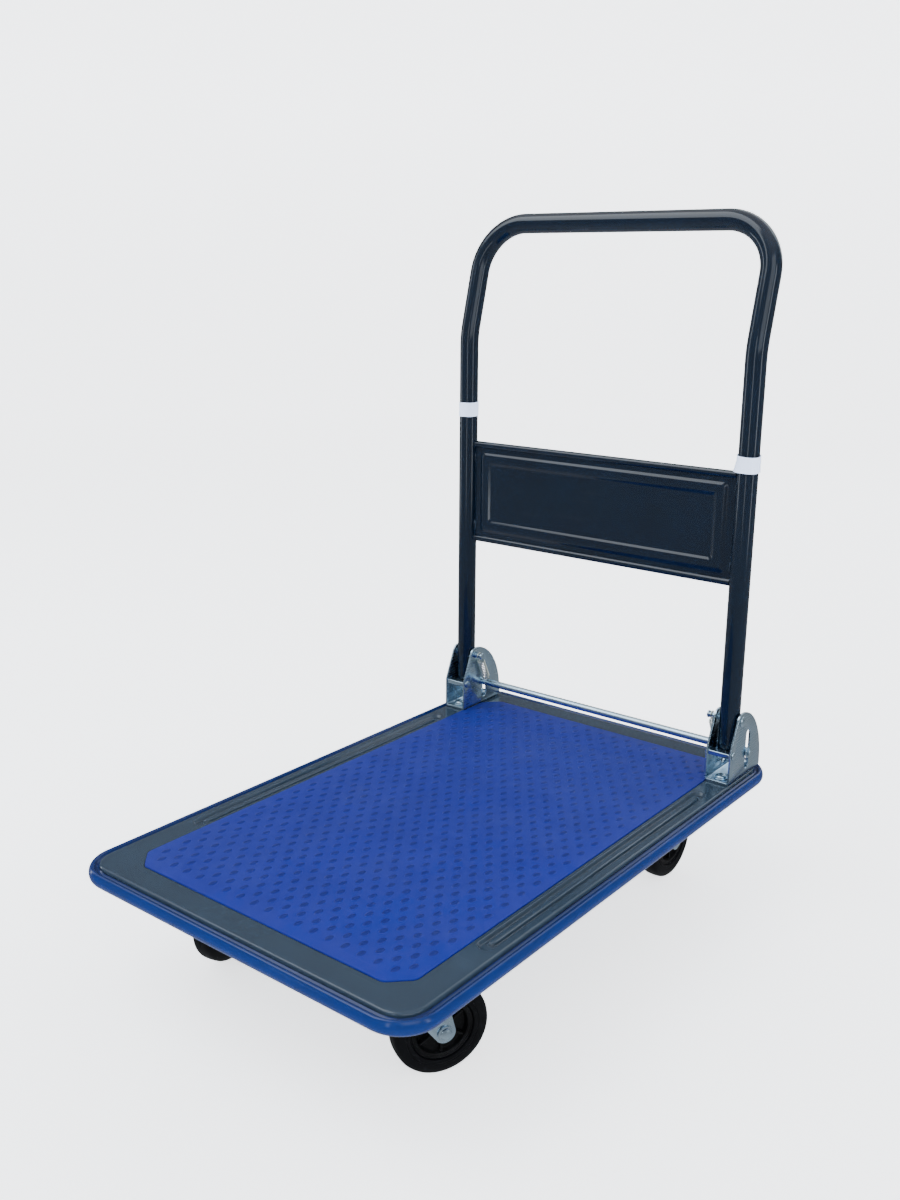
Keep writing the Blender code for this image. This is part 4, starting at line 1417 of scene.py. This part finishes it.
class CART_OT_axles(bpy.types.Operator):
    """Turn the axle bolts and cut their hexagon nuts"""

    bl_idname = "cart.axles"
    bl_label = "Axles"

    def execute(self, context):
        out = 17.8
        thread = []
        for i in range(5):
            thread += [(-out - 2.0 - i, 5.0), (-out - 2.5 - i, 4.5)]
        shape = [
            (out + 3.2, 0), (out + 3.2, 2.6), (out + 2.9, 3.6), (out + 2.4, 5.4), (out + 1.5, 6.2),
            (out + 1.3, 6.3), (out + 1.2, 7.8), (out + 0.9, 8.0), (out, 8.0), (out, 5.0),
        ] + thread + [(-out - 7.0, 4.6), (-out - 7.2, 4.2), (-out - 7.2, 0)]
        bolt = turned("bolt", shape, (0, 0, 0), "X", 36)
        nut = hexagon("nut", Vector((-(out + 6.2) * MM, 0, 0)), 9.0, 6.0, 5.05, "X")
        set_at_wheels(
            (bolt, "axle_", "zinc", "axle_bolt_"),
            (nut, "axle_nut_shown_", "zinc", "axle_nut_"),
        )
        return {"FINISHED"}


class CART_OT_forks(bpy.types.Operator):
    """Press the four caster forks, the front ones crowned, the rear ones with a plate"""

    bl_idname = "cart.forks"
    bl_label = "Forks"

    def execute(self, context):
        for side in SIDES:
            self.swivel(side)
            self.rigid(side)
        return {"FINISHED"}

    def shape(self, outline, crown_low, axle_y, axle_z, sheet):
        """Two legs under a crown, bent round at the shoulders."""
        inner = 15 * MM
        outer = inner + sheet
        piece = slab("fork", at_x(outline, -outer), Vector((2 * outer, 0, 0)))
        round_folds(piece, max(z for _, z in outline), 4.2 * MM)
        space = box("space", (-inner, -90 * MM, 0), (inner, 120 * MM, crown_low))
        round_folds(space, crown_low, 2.2 * MM)
        return carve(piece, space, pin_tool("bore", (0, axle_y, axle_z), 5.4, 30))

    def swivel(self, side):
        tag = "front_" + side
        axle, turn = wheel_place("front", side)
        pivot = Vector(JOINTS["swivel_" + side]["pos_m"])
        sheet = bpy.context.scene.cart_running.fork_sheet
        trail = 33 * MM
        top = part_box("fork_" + tag)[1].z
        outline = [(-24 * MM, top), (-24.6 * MM, top - 4 * MM), (-24 * MM, top - 9 * MM)]
        outline += arc((trail, axle.z), 11 * MM, 222, 378, 16)
        outline += [(30 * MM, top - 9 * MM), (30 * MM, top - 4 * MM), (28 * MM, top)]
        fork = self.shape(outline, top - sheet, trail, axle.z, sheet)
        carve(fork, pin_tool("crown_bore", (0, 0, top), 5.6, 20, "Z"))
        soften(fork, 0.4, 2, 50)
        dish = turned("dish", [
            (-0.1, 7.6), (0.25, 7.8), (0.28, 22), (-0.1, 23),
        ], (0, 0, top), "Z", 48, loop=True)
        fork = join("fork_shown_" + tag, fork, dish)
        fork.location = (pivot.x, pivot.y, 0)
        fork.rotation_euler = (0, 0, turn)
        hand_over(fork, body_of("fork_" + tag), "zinc", "fork_" + tag)

    def rigid(self, side):
        tag = "rear_" + side
        axle, _ = wheel_place("rear", side)
        sheet = bpy.context.scene.cart_running.fork_sheet
        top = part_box("fork_" + tag)[1].z
        under = top - sheet
        outline = [(-28 * MM, under + MM), (-28 * MM, under - 6 * MM), (-27 * MM, under - 12 * MM)]
        outline += arc((0, axle.z), 11 * MM, 195, 345, 16)
        outline += [(27 * MM, under - 12 * MM), (28 * MM, under - 6 * MM), (28 * MM, under + MM)]
        fork = self.shape(outline, under - 0.6 * MM, 0, axle.z, sheet)
        carve(fork, caster_plate((0, 0, top), sheet), operation="UNION")
        soften(fork, 0.35, 2, 50)
        fork = join("fork_shown_" + tag, fork, *plate_bolts(0, 0, under))
        fork.location = (axle.x, axle.y, 0)
        hand_over(fork, "deck", "zinc", "fork_" + tag)


PLATE_HOLES = [(x * MM, y * MM) for x in (-37.5, 37.5) for y in (-26.5, 26.5)]


def caster_plate(place, thick):
    """A mounting plate with four slotted bolt holes; place is the middle of its top."""
    plate = plug("plate", (45 * MM, 34 * MM), 6 * MM, place, -thick, 6)
    half = (5.6 * MM, 3.9 * MM)
    spots = [Vector(place) + Vector((x, y, 4 * MM)) for x, y in PLATE_HOLES]
    return carve(plate, *(plug("hole", half, 3.85 * MM, spot, -12 * MM, 6) for spot in spots))


def plate_bolts(x, y, under):
    """Four hexagon heads with washers under a caster's plate."""
    bolts = []
    for dx, dy in PLATE_HOLES:
        bolts.append(turned("washer", [
            (0, 3.0), (0, 7.4), (-0.3, 7.6), (-1.2, 7.6), (-1.4, 7.3), (-1.4, 3.0),
        ], (x + dx, y + dy, under), "Z", 32, loop=True))
        place = Vector((x + dx, y + dy, under - 5.4 * MM))
        bolts.append(hexagon("head", place, 6.2, 4.0, 0.4))
    return bolts


class CART_OT_swivels(bpy.types.Operator):
    """Make the swivel plates, ball races and kingpins of the front casters"""

    bl_idname = "cart.swivels"
    bl_label = "Swivel heads"

    def execute(self, context):
        for side in SIDES:
            low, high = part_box("swivel_plate_" + side)
            spot = (low + high) / 2
            plate = caster_plate((spot.x, spot.y, high.z), high.z - low.z)
            carve(plate, pin_tool("bore", (spot.x, spot.y, high.z), 5.4, 10, "Z"))
            soften(plate, 0.35, 2, 50)
            plate = join("swivel_plate_shown_" + side, plate, *plate_bolts(spot.x, spot.y, low.z))
            hand_over(plate, "deck", "zinc", "swivel_plate_" + side)
            self.race(side, spot)
            self.kingpin(side, spot)
        return {"FINISHED"}

    def race(self, side, spot):
        """Upper and lower cups with the balls showing between their lips."""
        low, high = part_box("ball_race_" + side)
        top, base = high.z / MM, low.z / MM
        mid = (top + base) / 2
        upper = turned("upper", [
            (top, 8), (top, 21.5), (top - 1.2, 24.5), (top - 2.6, 25.8), (top - 3.4, 26.0),
            (mid + 0.9, 25.9), (mid + 0.8, 24.6), (mid + 1.4, 22.5), (mid + 1.4, 8),
        ], (spot.x, spot.y, 0), "Z", 64, loop=True)
        lower = turned("lower", [
            (base, 8), (base, 23.4), (base + 0.6, 24.2), (mid - 0.9, 24.4), (mid - 0.8, 23.2),
            (mid - 1.3, 21.5), (mid - 1.3, 8),
        ], (spot.x, spot.y, 0), "Z", 64, loop=True)
        balls = []
        for i in range(22):
            turn = math.tau * i / 22
            place = (spot.x + 22 * MM * math.cos(turn), spot.y + 22 * MM * math.sin(turn), mid * MM)
            profile = [(2.3 * math.sin(math.radians(a)), 2.3 * math.cos(math.radians(a)))
                       for a in (-90, -60, -30, 0, 30, 60, 90)]
            balls.append(turned("ball", profile, place, "Z", 12))
        race = join("race_" + side, upper, lower, *balls)
        hand_over(race, "deck", "zinc", "ball_race_" + side)

    def kingpin(self, side, spot):
        low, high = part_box("kingpin_" + side)
        base, top = low.z / MM, high.z / MM
        pin = turned("pin", [
            (top, 0), (top, 4.6), (top - 0.4, 5), (base + 6.4, 5), (base + 6.4, 9.4),
            (base + 5.2, 9.4),
            (base + 5.0, 4.7), (base, 4.7), (base, 4.2), (base, 0),
        ], (spot.x, spot.y, 0), "Z", 36)
        nut = hexagon("nut", Vector((spot.x, spot.y, (base + 0.8) * MM)), 8.8, 4.2, 4.8)
        pin = join("kingpin_shown_" + side, pin, nut)
        hand_over(pin, body_of("kingpin_" + side), "zinc", "kingpin_" + side)


# ---------------------------------------------------------------- stage

class CART_OT_stage(bpy.types.Operator):
    """Set up the pale floor, the soft lights and the camera"""

    bl_idname = "cart.stage"
    bl_label = "Stage"

    def execute(self, context):
        self.floor(context.scene.cart_colours.floor)
        self.lights(context.scene)
        self.camera(context.scene)
        return {"FINISHED"}

    def floor(self, colour):
        """A flat pale floor that sweeps up into a wall all round."""
        profile = [(-0.2, 0), (-0.2, 5200)]
        profile += [(z, r) for r, z in arc((5200, 1799.8), 1800, 270, 360, 14)]
        profile += [(5200, 7000)]
        floor = turned("studio_floor", profile, (0, 0, 0), "Z", 96)
        edit(floor)
        bpy.ops.mesh.flip_normals()
        let_go()
        settle(floor)
        bpy.ops.object.shade_smooth()
        paint = bpy.data.materials.new("studio_floor")
        paint.use_nodes = True
        tree = paint.node_tree
        shader = tree.nodes["Principled BSDF"]
        shader.inputs["Roughness"].default_value = 0.9
        shader.inputs["Specular IOR Level"].default_value = 0.1
        cloudy = remap(tree, noise(tree, 2.0, 3.0), 0.3, 0.7)
        base = blend_colours(tree, cloudy, tuple(colour), tuple(c * 0.985 for c in colour))
        wire_up(tree, base, shader.inputs["Base Color"])
        shader.inputs["Emission Color"].default_value = (*colour, 1)
        shader.inputs["Emission Strength"].default_value = 1.7
        floor.data.materials.append(paint)
        floor.visible_glossy = False

    def lights(self, scene):
        world = bpy.data.worlds.new("studio")
        scene.world = world
        world.use_nodes = True
        tree = world.node_tree
        rise = add(tree, "ShaderNodeSeparateXYZ")
        wire_up(tree, add(tree, "ShaderNodeTexCoord").outputs["Generated"], rise.inputs[0])
        up = remap(tree, rise.outputs["Z"], 0.4, 0.95, 0.0, 1.0)
        down = remap(tree, rise.outputs["Z"], -0.9, -0.05, 1.0, 0.0)
        up, down = sums(tree, "MULTIPLY", up, 0.9), sums(tree, "MULTIPLY", down, 0.3)
        level = sums(tree, "ADD", up, down)
        sky = tree.nodes["Background"]
        sky.inputs["Color"].default_value = (0.93, 0.96, 1.0, 1)
        wire_up(tree, sums(tree, "ADD", level, 0.3), sky.inputs["Strength"])
        rows = (
            ("key", (-1.4, -1.2, 3.0), (0, 0, 0.2), (2.6, 2.6), 80),
            ("fill", (2.6, -1.6, 2.0), (0, 0, 0.3), (2.2, 2.2), 26),
            ("back", (0.4, 3.0, 2.4), (0, 0, 0.3), (2.6, 2.6), 40),
            ("left_strip", (-2.9, -0.8, 0.9), (0, 0, 0.6), (0.3, 2.2), 12),
            ("front_strip", (0.7, -2.9, 0.9), (0, 0, 0.6), (0.24, 2.2), 8),
            ("right_strip", (3.0, 0.1, 0.9), (0, 0, 0.6), (0.3, 2.2), 12),
        )
        for name, place, aim, size, power in rows:
            bpy.ops.object.light_add(type="AREA", location=place)
            light = bpy.context.object
            light.name = name
            light.data.energy = power
            light.data.color = (0.88, 0.95, 1.0)
            light.data.shape = "RECTANGLE"
            light.data.size, light.data.size_y = size
            ray = Vector(aim) - Vector(place)
            light.rotation_euler = ray.to_track_quat("-Z", "Y").to_euler()

    def camera(self, scene):
        place = Vector((0.80112, -1.02210, 0.76577))
        heading, pitch, roll = (math.radians(a) for a in (38.479, 15.643, 0.336))
        level = math.cos(pitch)
        back = Vector((math.sin(heading) * level, -math.cos(heading) * level, math.sin(pitch)))
        right = (-back).cross(Vector((0, 0, 1))).normalized()
        up = right.cross(-back)
        side = math.cos(roll) * right + math.sin(roll) * up
        rise = math.cos(roll) * up - math.sin(roll) * right
        data = bpy.data.cameras.new("camera")
        data.lens = 47.78
        data.sensor_width = 36
        data.sensor_fit = "HORIZONTAL"
        camera = bpy.data.objects.new("camera", data)
        scene.collection.objects.link(camera)
        turn = Matrix((side, rise, back)).transposed().to_4x4()
        camera.matrix_world = Matrix.Translation(place) @ turn
        scene.camera = camera


# ---------------------------------------------------------------- panel and registration

OPERATORS = (
    CART_OT_finishes, CART_OT_deck_pan, CART_OT_deck_mat, CART_OT_edge_bumper, CART_OT_channels,
    CART_OT_handle, CART_OT_panel, CART_OT_tapes, CART_OT_brackets, CART_OT_bracket_hardware,
    CART_OT_release_rod, CART_OT_springs, CART_OT_wheels, CART_OT_axles, CART_OT_forks,
    CART_OT_swivels, CART_OT_stage,
)
SETTINGS = {
    "cart_deck": CartDeckSettings,
    "cart_handle": CartHandleSettings,
    "cart_running": CartRunningSettings,
    "cart_colours": CartColours,
}


class CART_PT_sidebar(bpy.types.Panel):
    """Sizes, colours and pieces of the cart"""

    bl_label = "Platform cart"
    bl_idname = "CART_PT_sidebar"
    bl_space_type = "VIEW_3D"
    bl_region_type = "UI"
    bl_category = "Cart"

    def draw(self, context):
        layout = self.layout
        for name, kind in SETTINGS.items():
            box_row = layout.box()
            for key in kind.__annotations__:
                box_row.prop(getattr(context.scene, name), key)
        for operator in OPERATORS:
            layout.operator(operator.bl_idname)


def register():
    for kind in (*SETTINGS.values(), *OPERATORS, CART_PT_sidebar):
        bpy.utils.register_class(kind)
    for name, kind in SETTINGS.items():
        setattr(bpy.types.Scene, name, PointerProperty(type=kind))


def unregister():
    for name in SETTINGS:
        delattr(bpy.types.Scene, name)
    for kind in reversed((*SETTINGS.values(), *OPERATORS, CART_PT_sidebar)):
        bpy.utils.unregister_class(kind)


def main():
    register()
    for operator in OPERATORS:
        group, name = operator.bl_idname.split(".")
        getattr(getattr(bpy.ops, group), name)()


if __name__ == "__main__":
    main()
